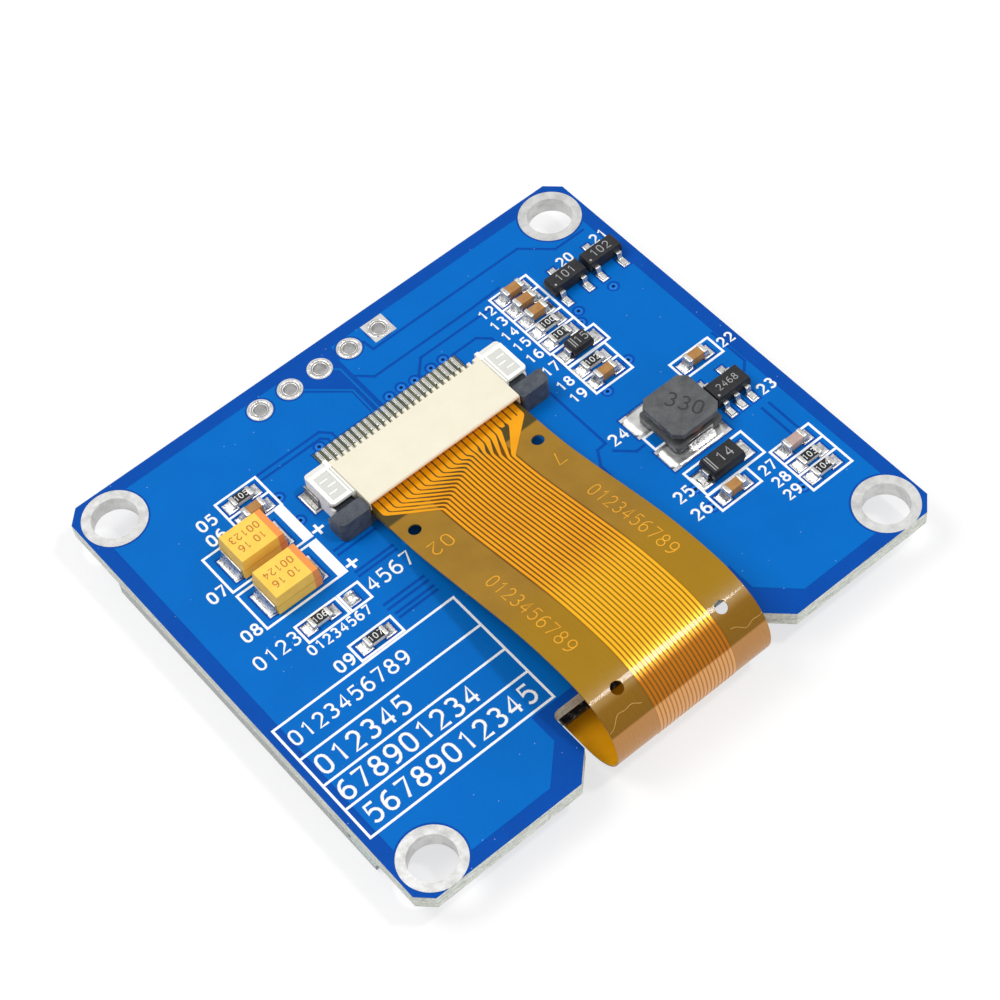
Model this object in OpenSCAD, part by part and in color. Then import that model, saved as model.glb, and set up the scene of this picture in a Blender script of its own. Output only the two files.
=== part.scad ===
// Small OLED display module, component side up, display face down on z = 0.
// Origin: the middle of the four mounting holes, on the display face.
// +Y points to the edge with the header holes, +X along that edge.

/* [Circuit board] */
// Width of the board along the header edge
board_w = 42.4; // [40:0.1:60]
// Length of the board from the header edge to the flex edge
board_l = 38; // [36:0.1:55]
// Thickness of the board
board_t = 1.2; // [0.8:0.1:2]
// Leg of the chamfer on each corner of the board
corner_cut = 1; // [0.4:0.1:2]
// Width of the notch that the flex loops round
notch_w = 14.3; // [13.5:0.1:18]
// Depth of the notch from the flex edge
notch_depth = 4.9; // [4:0.1:6]
// Leg of the chamfers that open the notch to the edge
notch_flare = 1.75; // [0.5:0.05:2.5]
// Radius in the two inner corners of the notch
notch_corner_r = 0.5; // [0.3:0.1:1]
// Thickness of the tinned copper pads
pad_t = 0.04; // [0.02:0.01:0.08]

/* [Mounting holes] */
// Finished diameter of the four mounting holes
hole_d = 3.2; // [2.2:0.1:3.6]
// Outer diameter of the tinned ring round each hole
hole_ring_d = 4.5; // [4:0.1:5]
// Distance of the hole centres from the side edges
hole_inset_side = 2.45; // [2.3:0.05:4]
// Distance of the hole centres from the header edge
hole_inset_header = 2.5; // [2.3:0.05:4]
// Distance of the hole centres from the flex edge
hole_inset_flex = 2.2; // [2.2:0.05:4]
// Wall of the plating inside each mounting hole
plating_t = 0.05; // [0.03:0.01:0.1]

/* [Header holes] */
// Number of header holes
header_count = 5; // [4:1:7]
// Pitch of the header holes
header_pitch = 2.54; // [2:0.01:2.54]
// Finished diameter of a header hole
header_hole_d = 1; // [0.8:0.05:1.1]
// Diameter of a round header pad, and side of the square one
header_pad_d = 1.8; // [1.5:0.05:2]
// Distance of the header row from the header edge
header_inset = 2; // [1.5:0.05:3]
// Middle of the header row along X
header_x = -1.31; // [-4:0.01:4]

/* [Display] */
// Width of the front glass
glass_w = 42.04; // [39:0.01:50]
// Length of the front glass
glass_l = 27.22; // [24:0.01:32]
// Thickness of the front glass
glass_t = 0.55; // [0.4:0.05:0.8]
// Thickness of the cover glass behind it
cover_t = 0.65; // [0.5:0.05:0.9]
// Thickness of the edge seal between the two glasses
seal_t = 0.05; // [0.03:0.01:0.08]
// Width of the edge seal
seal_w = 1.2; // [0.8:0.1:2]
// Length of the front glass left bare for the driver chip and the flex
ledge_l = 2.6; // [2.4:0.1:4]
// How far the front glass runs into the notch's line behind the board
ledge_show = 0.4; // [0:0.1:0.8]
// Width of the lit area
active_w = 35.05; // [30:0.01:36]
// Length of the lit area
active_l = 17.51; // [14:0.01:20]
// Thickness of the emitting layers
emitter_t = 0.03; // [0.02:0.01:0.03]
// Margin of the polarizer round the lit area
polarizer_margin = 1.5; // [0.5:0.1:2.5]
// Thickness of the polarizer
polarizer_t = 0.2; // [0.15:0.01:0.3]
// Depth of the pocket in the cover glass
pocket_depth = 0.25; // [0.2:0.01:0.35]
// Thickness of the drying sheet in the pocket
desiccant_t = 0.2; // [0.1:0.01:0.2]
// Length of the driver chip
driver_w = 8.6; // [6:0.1:12]
// Width of the driver chip
driver_l = 0.9; // [0.7:0.1:1.2]
// Thickness of the driver chip
driver_t = 0.3; // [0.2:0.05:0.4]
// Thickness of the foam tape behind the cover glass
foam_t = 0.7; // [0.5:0.05:1]
// Width of each of the two foam strips
foam_w = 6; // [4:0.5:12]

/* [Flex film] */
// Width of the film
flex_w = 12.5; // [12.4:0.1:13]
// Thickness of the film
flex_t = 0.1; // [0.08:0.01:0.12]
// Thickness of the copper on its outer face
copper_t = 0.02; // [0.01:0.01:0.03]
// Height of the loop's level top above the board
loop_h = 4.22; // [3.5:0.01:5.5]
// How far the middle of the film stands out past the flex edge
loop_overhang = 0.37; // [0.1:0.01:1]
// Bend radius where the film leaves the level
shoulder_r = 7; // [5:0.1:9]
// Angle turned on that radius
shoulder_turn = 25; // [15:1:35]
// Bend radius of the loop's crown
crown_r = 3.4; // [2.5:0.1:4]
// Straight stretch in the middle of the climb from the connector
climb_flat = 6.2; // [2:0.1:9]
// Level stretch of film outside the connector's mouth
mouth_lead = 0.57; // [0.3:0.01:1.5]
// Length of film bonded on the ledge of the front glass
bond_l = 0.8; // [0.5:0.1:1]
// Thickness of the stiffener under the film's end
stiffener_t = 0.2; // [0.1:0.01:0.2]
// How far the stiffener shows outside the mouth
stiffener_show = 1.8; // [0.5:0.1:3]
// Diameter of the four tooling holes in the film
tooling_d = 0.9; // [0.6:0.1:1.1]
// Distance from the film's edge to the tooling holes near the connector
tooling_inset = 1.07; // [0.9:0.01:1.3]
// Distance from the film's edge to the tooling holes on the loop
tooling_inset_loop = 2.03; // [1:0.01:2.3]
// Distance of the first tooling holes from the connector's mouth
tooling_y = 3.12; // [2.5:0.01:5]
// Width of the resin line over the bond
resin_w = 1.3; // [0.8:0.1:1.5]
// Height of the resin line above the film
resin_h = 0.3; // [0.1:0.05:0.6]

/* [Flex tracks] */
// Number of contact pads on the film
contact_count = 24; // [24:1:24]
// Pitch of the contact pads
contact_pitch = 0.5; // [0.48:0.01:0.51]
// Width of a contact pad
finger_w = 0.34; // [0.25:0.01:0.4]
// Pitch of the tracks in the bundle
track_pitch = 0.3; // [0.25:0.01:0.35]
// Width of a track in the bundle
track_w = 0.18; // [0.12:0.01:0.2]
// Middle of the bundle along X
bundle_x = 0.2; // [-1:0.1:1]
// Straight length of the contact pads outside the mouth
finger_show = 0.4; // [0.2:0.05:1]
// Fall along Y for each millimetre that a track fans in along X
fan_slope = 0.78; // [0.6:0.01:1]

/* [Connector] */
// Front edge of the housing, where the film goes in
connector_y = 4.87; // [3:0.01:6]
// Height of the housing above the board
housing_h = 2; // [1.8:0.05:2.5]
// Width of the plate between the end blocks
plate_w = 12.6; // [12.6:0.1:13.2]
// Length of the plate
plate_l = 4.43; // [4.2:0.01:5]
// Width of each end block
block_w = 1.9; // [1.7:0.1:2.5]
// Distance from the plate's front edge to the front of the end blocks
block_setback = 1.48; // [1.2:0.01:2]
// How far the end blocks run out behind the plate
block_tail = 0.3; // [0:0.05:0.6]
// Bevel along the plate's top front edge
plate_bevel = 0.1; // [0.05:0.01:0.2]
// Width of the grooves beside the plate and of the ridge between them
groove_w = 0.1; // [0.06:0.01:0.12]
// Depth of the grooves beside the plate
groove_depth = 0.12; // [0.05:0.01:0.15]
// Depth of the recess in the top of each end block
recess_depth = 0.08; // [0.03:0.01:0.12]
// Rim round that recess
recess_rim = 0.3; // [0.2:0.05:0.4]
// Width of the ribs in the recess
rib_w = 0.12; // [0.08:0.01:0.2]
// Drop of the step at the back of each end block
step_drop = 0.15; // [0.05:0.01:0.3]
// Length of that step
step_l = 0.45; // [0.3:0.05:0.6]
// Thickness of the lip along the front of each end block's top
lip_t = 0.25; // [0.15:0.01:0.3]
// Depth of the groove under that lip
lip_groove = 0.12; // [0.05:0.01:0.2]
// Height of the film's middle above the board in the mouth
mouth_h = 1.05; // [1:0.01:1.3]
// Length of film inside the connector
insertion = 3.43; // [3:0.01:3.5]
// Thickness of the housing's floor
floor_t = 0.26; // [0.2:0.01:0.3]
// Clearance between the slider, the film and the housing
slide_clear = 0.05; // [0.03:0.01:0.1]
// Height of the gap under the housing and the slider
standoff = 0.06; // [0.04:0.01:0.1]
// Width of the slider over its ears
slider_w = 17.6; // [17:0.1:19]
// How far the slider's front stands out past the plate
slider_show = 0.22; // [0:0.01:1]
// Height of the slider's ears above the board
ear_h = 1.85; // [1.5:0.05:2]
// Radius of the ears' outer front corners
ear_r = 0.5; // [0.2:0.05:0.8]
// Radius of the ears' inner front corners
ear_inner_r = 0.2; // [0.1:0.05:0.3]
// Width of a metal contact
contact_w = 0.2; // [0.15:0.01:0.24]
// Thickness of the contact's metal
contact_t = 0.15; // [0.1:0.01:0.2]
// How far the contact tails run out behind the plate
tail_l = 2.3; // [1.8:0.1:3]
// Length of the solder pads under the contact tails
tail_pad_l = 1; // [0.8:0.1:1.4]
// Length of the metal hold-down on each side
hold_down_l = 1.6; // [1:0.1:2.4]
// Width of the foot of the hold-down
hold_down_w = 0.45; // [0.3:0.05:0.6]

/* [Chip parts] */
// Length of a chip capacitor or resistor
chip_l = 1.6; // [1.5:0.05:1.7]
// Width of a chip capacitor or resistor
chip_w = 0.8; // [0.7:0.05:0.9]
// Height of a chip capacitor
capacitor_h = 0.8; // [0.6:0.05:0.9]
// Height of a chip resistor
resistor_h = 0.45; // [0.35:0.05:0.55]
// Length of each metal end
chip_end_l = 0.32; // [0.25:0.01:0.4]
// How far the metal ends stand proud of the body
chip_end_t = 0.02; // [0.01:0.01:0.04]
// Length over both solder pads of a chip
chip_pads_l = 2.7; // [2.4:0.05:2.8]
// Length of one solder pad of a chip
chip_pad_l = 0.85; // [0.7:0.05:0.9]
// Width of a solder pad of a chip
chip_pad_w = 0.95; // [0.85:0.05:1.05]
// Height of solder on a chip's end, as a share of the chip's height
solder_rise = 0.6; // [0.3:0.05:0.9]

/* [Tantalum capacitors] */
// Length of the moulded body
tantalum_l = 3.5; // [3:0.1:3.8]
// Width of the moulded body
tantalum_w = 2.8; // [2.4:0.1:3]
// Height of the capacitor
tantalum_h = 1.9; // [1.5:0.1:2.2]
// Thickness of its terminals
tantalum_lead_t = 0.12; // [0.08:0.01:0.2]
// Width of its terminals
tantalum_lead_w = 2.2; // [1.6:0.1:2.4]

/* [Inductor] */
// Side of the inductor
inductor_w = 4; // [3.5:0.1:4.3]
// Height of the inductor
inductor_h = 1.8; // [1.5:0.1:2.5]
// Thickness of each ferrite flange
flange_t = 0.5; // [0.4:0.05:0.6]
// Diameter of the winding
winding_d = 3.5; // [3:0.1:3.6]
// Diameter of the core's post
post_d = 1.8; // [1.2:0.1:2]
// Leg of the cut on the upper flange's corners
flange_cut = 0.55; // [0.3:0.05:0.8]

/* [Hidden] */
$fn = 48;
EPS = 0.01;
// angle between the flats that the film's bends are made of
BEND_STEP = 6;
FAR = 60;

// levels, from the display face up
z_glass = polarizer_t;
z_ledge = z_glass + glass_t;
z_cover = z_ledge + seal_t;
z_foam = z_cover + cover_t;
z_board = z_foam + foam_t;
z_top = z_board + board_t;
z_pad = z_top + pad_t;

// edges of the board and places of its holes
side_x = board_w / 2;
hole_x = side_x - hole_inset_side;
hole_y = (board_l - hole_inset_header - hole_inset_flex) / 2;
header_edge = hole_y + hole_inset_header;
flex_edge = -hole_y - hole_inset_flex;
notch_y = flex_edge + notch_depth;
header_y = header_edge - header_inset;

// the display hangs on the notch, where the film reaches its ledge
glass_y0 = notch_y + ledge_show;
cover_y0 = glass_y0 + ledge_l;
cover_l = glass_l - ledge_l;
cover_mid = cover_y0 + cover_l / 2;
desiccant_w = active_w - 2;
desiccant_l = active_l - 2;
pocket_room = 0.8;
film_y_end = glass_y0 + bond_l;
driver_y = (film_y_end + cover_y0) / 2;

// the film's path in the YZ plane: level, climb, level, then round the notch
film_z_in = z_top + mouth_h;
film_z_top = z_top + loop_h;
film_z_bond = z_ledge + copper_t + flex_t / 2;
film_y_in = connector_y + insertion;
climb_y = connector_y - mouth_lead;
loop_y = flex_edge - loop_overhang;
bend_y = loop_y + shoulder_r * sin(shoulder_turn) + crown_r * (1 - sin(shoulder_turn));
climb_run = climb_y - bend_y;
climb_rise = loop_h - mouth_h;
climb_r = (pow(climb_run, 2) + pow(climb_rise, 2) - pow(climb_flat, 2)) / (4 * climb_rise);
climb_turn = atan2(climb_rise - 2 * climb_r, climb_run) + atan2(2 * climb_r, climb_flat);
crown_drop = shoulder_r * (1 - cos(shoulder_turn)) + crown_r * cos(shoulder_turn);
under_r = film_z_top - crown_drop - film_z_bond;
// each stretch is [length, 0] when straight, or [turn, radius], positive to the left
FILM_PATH = [
    [film_y_in - climb_y, 0],
    [-climb_turn, climb_r],
    [climb_flat, 0],
    [climb_turn, climb_r],
    [shoulder_turn, shoulder_r],
    [90 - shoulder_turn, crown_r],
    [90, under_r],
    [film_y_end - loop_y - under_r, 0]
];
CLIMB_END = 3;
SHOULDER = 4;
film_outer = flex_t / 2;
copper_outer = film_outer + copper_t;

// the tracks on the film
first_finger_x = -(contact_count - 1) * contact_pitch / 2;
track_count = contact_count - 3;
fan_y = connector_y - finger_show;
straight_y = fan_y - fan_slope * contact_count * contact_pitch / 2;

// the connector, measured from the board's top
plate_y1 = connector_y + plate_l;
block_y0 = connector_y + block_setback;
block_y1 = plate_y1 + block_tail;
block_x1 = plate_w / 2 + block_w;
mouth_top = mouth_h + copper_outer + slide_clear;
tongue_top = mouth_h - film_outer - stiffener_t - slide_clear;
bar_l = 1.1;
slider_y0 = connector_y - slider_show;
bar_y1 = slider_y0 + bar_l;
ear_x0 = plate_w / 2 + 2 * slide_clear;
ear_y1 = block_y0 - 2 * slide_clear;
tongue_y1 = film_y_in - 4 * slide_clear;
channel_wall = 0.2;
arm_x0 = plate_w / 2 + channel_wall + slide_clear;
arm_x1 = block_x1 - channel_wall - slide_clear;
arm_z0 = floor_t + standoff + 2 * slide_clear;
arm_z1 = arm_z0 + 0.75;
arm_y1 = block_y1 - 1.1;
rib_count = 3;
contact_y0 = connector_y + 0.85;
contact_back = plate_y1 - 0.2;
contact_top = housing_h - 0.3;

// parts on the board: [distance from the nearer side edge, y], first on the +X side
CAPACITORS_RIGHT = [
    [8.8, 13.07], [8.8, 11.8], [8.8, 10.55], [8.75, 3.45],
    [3.55, 0.3], [8.85, -9.25], [3.55, -9.27]
];
CAPACITORS_LEFT = [[9.55, 10.65]];
RESISTORS_RIGHT = [[8.85, 9.3], [8.85, 8], [8.75, 4.8], [3.55, -10.7], [3.55, -11.95]];
RESISTORS_LEFT = [[9.55, 12.1], [7.7, 1.15], [9.45, -2.35]];
TANTALUMS = [[7.75, 8.2], [7.75, 4.55]];
BLANK_PAD = [10.15, 1.05];
REGULATORS = [[5.55, 11.27], [2.4, 11.27]];
CONVERTER = [3.8, -3.1];
BOOST_DIODE = [8.05, -7.3];
RESET_DIODE = [8.5, 6.45];
INDUCTOR = [7.64, -2.8];

// packages: [length, width, height]
SOT_BODY = [2.9, 1.3, 1.1];
SOT5_BODY = [2.9, 1.6, 1.1];
BOOST_DIODE_BODY = [2.7, 1.6, 1.1];
RESET_DIODE_BODY = [1.7, 1.25, 0.9];
sot_pitch = 0.95;
sot_lead_w = 0.4;
sot_reach = 0.6;
diode_lead_w = 0.6;
diode_reach = 0.45;
lead_t = 0.14;
body_gap = 0.06;
lead_pad_margin = 0.15;

function on_right(place) = [side_x - place.x, place.y];
function on_left(place) = [place.x - side_x, place.y];
CAPACITORS = concat(
    [for (p = CAPACITORS_RIGHT) on_right(p)], [for (p = CAPACITORS_LEFT) on_left(p)]
);
RESISTORS = concat(
    [for (p = RESISTORS_RIGHT) on_right(p)], [for (p = RESISTORS_LEFT) on_left(p)]
);

// ---- shared shapes ----

// A box given by its lowest and highest corners
module box(low, high) {
    translate(low) cube(high - low);
}

// A box centred on X and Y that stands on z = 0
module block(size) {
    translate([-size.x / 2, -size.y / 2, 0]) cube(size);
}

// A rectangle with round corners, centred
module rounded_rect(w, l, r) {
    square([w - 2 * r, l], center = true);
    square([w, l - 2 * r], center = true);
    for (x = [-1, 1], y = [-1, 1])
        translate([x * (w / 2 - r), y * (l / 2 - r)]) circle(r);
}

// Extrudes a YZ outline along X, centred
module along_x(w) {
    translate([-w / 2, 0, 0]) rotate([90, 0, 90]) linear_extrude(w) children();
}

// Extrudes an XZ outline along Y, centred
module along_y(l) {
    translate([0, l / 2, 0]) rotate([90, 0, 0]) linear_extrude(l) children();
}

// Both sides of the YZ plane
module both_sides() {
    children();
    mirror([1, 0, 0]) children();
}

// A moulded package: its sides lean in from a level band at half height
module package(size, band = 0.24, lean = 0.08) {
    mid = (size.z - body_gap) / 2 + body_gap;
    intersection() {
        along_x(size.x) leaning_outline(size.y, size.z, mid, band, lean);
        along_y(size.y) leaning_outline(size.x, size.z, mid, band, lean);
    }
}

module leaning_outline(w, h, mid, band, lean) {
    polygon([
        [-w / 2 + lean, body_gap], [w / 2 - lean, body_gap],
        [w / 2, mid - band / 2], [w / 2, mid + band / 2],
        [w / 2 - lean, h], [-w / 2 + lean, h],
        [-w / 2, mid + band / 2], [-w / 2, mid - band / 2]
    ]);
}

// A gull-wing lead that leaves a package's side at y = 0 and reaches out along -Y
module gull_wing(w, reach, height) {
    mid = (height - body_gap) / 2 + body_gap;
    knee = reach * 0.45;
    foot = reach * 0.5;
    along_x(w) polygon([
        [0, mid + lead_t / 2], [-knee, mid + lead_t / 2], [-foot - lead_t / 2, lead_t],
        [-reach - foot, lead_t], [-reach - foot, 0], [-foot + lead_t / 2, 0],
        [-knee + lead_t, mid - lead_t / 2], [0, mid - lead_t / 2]
    ]);
}

// Three or five leads of a small package, from a list of [x step, side]
module sot_leads(size, spots) {
    for (s = spots)
        translate([s.x * sot_pitch, 0, 0]) mirror([0, s.y > 0 ? 1 : 0, 0])
            translate([0, -size.y / 2, 0]) gull_wing(sot_lead_w, sot_reach, size.z);
}
SOT3_SPOTS = [[-1, -1], [1, -1], [0, 1]];
SOT5_SPOTS = [[-1, -1], [0, -1], [1, -1], [-1, 1], [1, 1]];

// Puts children on the pads at a place on the board
module at(place) {
    translate([place.x, place.y, z_pad]) children();
}

// A solder wedge at x = 0 that falls away along +X
module solder_wedge(w, l, h) {
    along_y(w) polygon([[0, 0], [l, 0], [l * 0.45, h * 0.4], [0, h]]);
}

// ---- the film's strip ----

// The pose [y, z, heading] after a stretch of the path
function after(p, s) = s[1] == 0
    ? [p.x + s[0] * cos(p.z), p.y + s[0] * sin(p.z), p.z]
    : let (r = sign(s[0]) * s[1], a = p.z + s[0])
      [p.x - r * (sin(p.z) - sin(a)), p.y + r * (cos(p.z) - cos(a)), a];
function pose(i) = i == 0 ? [film_y_in, film_z_in, 180] : after(pose(i - 1), FILM_PATH[i - 1]);

// The point of a pose that stands off the path, on its outer side
function stand_off(p, d) = [p.x + d * sin(p.z), p.y - d * cos(p.z)];
// The path moved outward by d: straight stretches are one step, bends turn in even steps
function steps(s) = s[1] == 0 ? 1 : ceil(abs(s[0]) / BEND_STEP);
function moved_path(d, last) = concat(
    [stand_off(pose(0), d)],
    [for (i = [0:last], k = [1:steps(FILM_PATH[i])])
        stand_off(after(pose(i), [FILM_PATH[i][0] * k / steps(FILM_PATH[i]), FILM_PATH[i][1]]), d)]
);
function reversed(v) = [for (i = [len(v) - 1:-1:0]) v[i]];

// The film's path given a thickness, from inner to outer on its outer side
module film_strip(inner, outer, last = len(FILM_PATH) - 1) {
    polygon(concat(moved_path(outer, last), reversed(moved_path(inner, last))));
}

// Keeps the part of a YZ outline between two heights along Y
module between_y(y0, y1) {
    intersection() {
        children();
        translate([y0, 0]) square([y1 - y0, FAR]);
    }
}

// ---- the board ----

module board_outline() {
    c = corner_cut;
    difference() {
        polygon([
            [-side_x, flex_edge + c], [-side_x + c, flex_edge],
            [side_x - c, flex_edge], [side_x, flex_edge + c],
            [side_x, header_edge - c], [side_x - c, header_edge],
            [-side_x + c, header_edge], [-side_x, header_edge - c]
        ]);
        notch_outline();
    }
}

module notch_outline() {
    tall = 2 * notch_depth;
    translate([0, notch_y - tall / 2]) rounded_rect(notch_w, tall, notch_corner_r);
    polygon([
        [-notch_w / 2, flex_edge + notch_flare], [notch_w / 2, flex_edge + notch_flare],
        [notch_w / 2 + notch_flare, flex_edge], [notch_w / 2 + notch_flare, flex_edge - 1],
        [-notch_w / 2 - notch_flare, flex_edge - 1], [-notch_w / 2 - notch_flare, flex_edge]
    ]);
}

module mounting_spots() {
    for (x = [-hole_x, hole_x], y = [-hole_y, hole_y]) translate([x, y, 0]) children();
}

// $pin is the number of the header hole, from 0 on the left
module header_spots() {
    for ($pin = [0:header_count - 1])
        translate([header_x + ($pin - (header_count - 1) / 2) * header_pitch, header_y, 0])
            children();
}

module circuit_board() {
    color([0.04, 0.42, 0.8]) difference() {
        translate([0, 0, z_board]) linear_extrude(board_t) board_outline();
        mounting_spots() translate([0, 0, z_board - 1])
            cylinder(h = board_t + 2, d = hole_d + 2 * plating_t);
        header_spots() translate([0, 0, z_board - 1])
            cylinder(h = board_t + 2, d = header_hole_d);
    }
}

// A plated hole: a pad on each face, given as an outline, and the barrel between them
module eyelet(bore) {
    difference() {
        union() {
            translate([0, 0, z_top]) linear_extrude(pad_t) children();
            translate([0, 0, z_board - pad_t]) linear_extrude(pad_t) children();
            translate([0, 0, z_board - pad_t])
                cylinder(h = board_t + 2 * pad_t, d = bore + 2 * plating_t);
        }
        translate([0, 0, z_board - 1]) cylinder(h = board_t + 2, d = bore);
    }
}

module mounting_hole_plating() {
    color("silver") for (x = [-hole_x, hole_x], y = [-hole_y, hole_y])
        translate([x, y, 0]) eyelet(hole_d) intersection() {
            circle(d = hole_ring_d);
            translate([-x, -y]) board_outline();
        }
}

// The last header pad is square. The thin plating in these holes is the board's own wall.
module header_pads() {
    color("silver") header_spots() for (z = [z_board - pad_t, z_top])
        translate([0, 0, z]) linear_extrude(pad_t) difference() {
            if ($pin == header_count - 1) square(header_pad_d, center = true);
            else circle(d = header_pad_d);
            circle(d = header_hole_d);
        }
}

// A tinned pad on the board, centred at x and y
module pad(x, y, w, l) {
    translate([x, y, z_top]) block([w, l, pad_t]);
}

module chip_pads(place) {
    for (s = [-1, 1])
        pad(place.x + s * (chip_pads_l - chip_pad_l) / 2, place.y, chip_pad_l, chip_pad_w);
}

module sot_pads(place, size, spots) {
    reach = 1.5 * sot_reach;
    for (s = spots)
        pad(place.x + s.x * sot_pitch, place.y + s.y * (size.y / 2 + reach / 2 + lead_pad_margin),
            sot_lead_w + lead_pad_margin, reach);
}

module diode_pads(place, size) {
    pad_l = 1.5 * diode_reach + 2 * lead_pad_margin;
    for (s = [-1, 1])
        pad(place.x + s * (size.x / 2 + pad_l / 2 - lead_pad_margin / 2), place.y,
            pad_l, size.y * 0.9);
}

module tantalum_pads(place) {
    pad_l = 1.6;
    for (s = [-1, 1])
        pad(place.x + s * (tantalum_l / 2 + 0.6 - pad_l / 2), place.y, pad_l, tantalum_lead_w);
}

module inductor_pads(place) {
    pad_l = 2.1;
    for (s = [-1, 1])
        pad(place.x - 0.5, place.y + s * (inductor_w / 2 + 0.8 - pad_l / 2), 5, pad_l);
}

module solder_pads() {
    color("silver") {
        for (p = concat(CAPACITORS, RESISTORS)) chip_pads(p);
        for (p = TANTALUMS) tantalum_pads(on_left(p));
        for (p = REGULATORS) sot_pads(on_right(p), SOT_BODY, SOT3_SPOTS);
        sot_pads(on_right(CONVERTER), SOT5_BODY, SOT5_SPOTS);
        diode_pads(on_right(BOOST_DIODE), BOOST_DIODE_BODY);
        diode_pads(on_right(RESET_DIODE), RESET_DIODE_BODY);
        inductor_pads(on_right(INDUCTOR));
        pad(on_left(BLANK_PAD).x, on_left(BLANK_PAD).y, chip_pad_l, chip_pad_w);
        for (i = [0:contact_count - 1])
            pad(first_finger_x + i * contact_pitch, plate_y1 + tail_l - tail_pad_l / 2 + 0.1,
                contact_w + 0.1, tail_pad_l);
        for (s = [-1, 1])
            pad(s * (block_x1 + hold_down_w / 2), block_y1 - hold_down_l / 2,
                hold_down_w + 2 * lead_pad_margin, hold_down_l + 2 * lead_pad_margin);
    }
}

// ---- the display ----

module polarizer() {
    color([0.05, 0.05, 0.06]) translate([0, cover_mid, 0])
        block([active_w + 2 * polarizer_margin, active_l + 2 * polarizer_margin, polarizer_t]);
}

module front_glass() {
    color([0.75, 0.85, 0.85]) translate([0, glass_y0 + glass_l / 2, z_glass])
        block([glass_w, glass_l, glass_t]);
}

module emitting_layer() {
    color([0.2, 0.2, 0.25]) translate([0, cover_mid, z_ledge])
        block([active_w, active_l, emitter_t]);
}

module edge_seal() {
    color([0.9, 0.88, 0.8]) translate([0, cover_mid, z_ledge]) linear_extrude(seal_t)
        difference() {
            square([glass_w - seal_w / 2, cover_l - seal_w / 2], center = true);
            square([glass_w - 2.5 * seal_w, cover_l - 2.5 * seal_w], center = true);
        }
}

module cover_glass() {
    color([0.7, 0.8, 0.8]) translate([0, cover_mid, z_cover]) difference() {
        block([glass_w, cover_l, cover_t]);
        translate([0, 0, -EPS])
            block([desiccant_w + pocket_room, desiccant_l + pocket_room, pocket_depth + EPS]);
    }
}

module desiccant_sheet() {
    color([0.95, 0.95, 0.92]) translate([0, cover_mid, z_cover + pocket_depth - desiccant_t])
        block([desiccant_w, desiccant_l, desiccant_t]);
}

module driver_chip() {
    color([0.2, 0.2, 0.22]) translate([0, driver_y, z_ledge])
        block([driver_w, driver_l, driver_t]);
}

module flex_bond_resin() {
    color([0.15, 0.12, 0.1]) translate([0, film_y_end - resin_w / 2, film_z_bond + film_outer])
        block([flex_w, resin_w, resin_h]);
}

module foam_tape() {
    color([0.15, 0.15, 0.16]) both_sides()
        translate([glass_w / 2 - foam_w, cover_mid, z_foam]) block([foam_w, cover_l - 2, foam_t]);
}

// ---- the film ----

module flex_film() {
    loop_hole = after(pose(SHOULDER), [shoulder_turn * 0.9, shoulder_r]);
    color([0.55, 0.42, 0.1]) difference() {
        along_x(flex_w) film_strip(-film_outer, film_outer);
        both_sides() {
            translate([flex_w / 2 - tooling_inset, connector_y - tooling_y, z_top + 0.5])
                cylinder(h = 2, d = tooling_d);
            translate([flex_w / 2 - tooling_inset_loop, loop_hole.x, loop_hole.y])
                rotate([loop_hole.z - 180, 0, 0])
                    cylinder(h = 1, d = tooling_d, center = true);
        }
    }
}

// The tracks count from -X. The last three contact pads join in one wide track
// and the one before them ends blind.
function finger_x(i) = first_finger_x + i * contact_pitch;
function track_x(i) = bundle_x + (i - (track_count - 1) / 2) * track_pitch;

// Plan of a contact pad that fans in to its track
module fan_outline(x0, x1, w0, w1) {
    knee = fan_y - fan_slope * abs(x1 - x0);
    polygon([
        [x0 - w0 / 2, film_y_in], [x0 + w0 / 2, film_y_in], [x0 + w0 / 2, fan_y],
        [x1 + w1 / 2, knee], [x1 + w1 / 2, straight_y],
        [x1 - w1 / 2, straight_y], [x1 - w1 / 2, knee], [x0 - w0 / 2, fan_y]
    ]);
}

// Puts a plan on the film's outer face, above the straight tracks
module on_film() {
    intersection() {
        translate([0, 0, z_top]) linear_extrude(loop_h) children();
        along_x(flex_w) between_y(straight_y, FAR) film_strip(film_outer, copper_outer, CLIMB_END);
    }
}

module straight_track(x) {
    translate([x, 0, 0]) along_x(track_w) difference() {
        film_strip(film_outer, copper_outer);
        translate([straight_y, 0]) square([FAR, FAR]);
    }
}

module flex_tracks() {
    blind = contact_count - 4;
    wide = contact_count - 3;
    color([0.95, 0.6, 0.1]) {
        for (i = [0:blind - 1]) {
            on_film() fan_outline(finger_x(i), track_x(i), finger_w, track_w);
            straight_track(track_x(i));
        }
        on_film() translate([finger_x(blind), fan_y]) {
            translate([-finger_w / 2, 0]) square([finger_w, FAR]);
            circle(d = finger_w);
        }
        on_film() wide_outline(wide);
        straight_track(track_x(blind));
    }
}

// The wide track: three contact pads that run together and taper to one
module wide_outline(first) {
    x0 = finger_x(first) - finger_w / 2;
    x1 = finger_x(contact_count - 1) + finger_w / 2;
    xt = track_x(track_count - 1);
    knee = fan_y - fan_slope * (x1 - xt);
    for (i = [first:contact_count - 1])
        translate([finger_x(i) - finger_w / 2, fan_y - EPS])
            square([finger_w, film_y_in - fan_y + EPS]);
    polygon([
        [x0, fan_y], [x1, fan_y], [xt + track_w / 2, knee], [xt + track_w / 2, straight_y],
        [xt - track_w / 2, straight_y], [xt - track_w / 2, knee]
    ]);
}

module flex_stiffener() {
    color([0.3, 0.22, 0.08]) along_x(flex_w)
        between_y(connector_y - stiffener_show, FAR)
            film_strip(-film_outer - stiffener_t, -film_outer, CLIMB_END);
}

// ---- the connector ----

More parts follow.
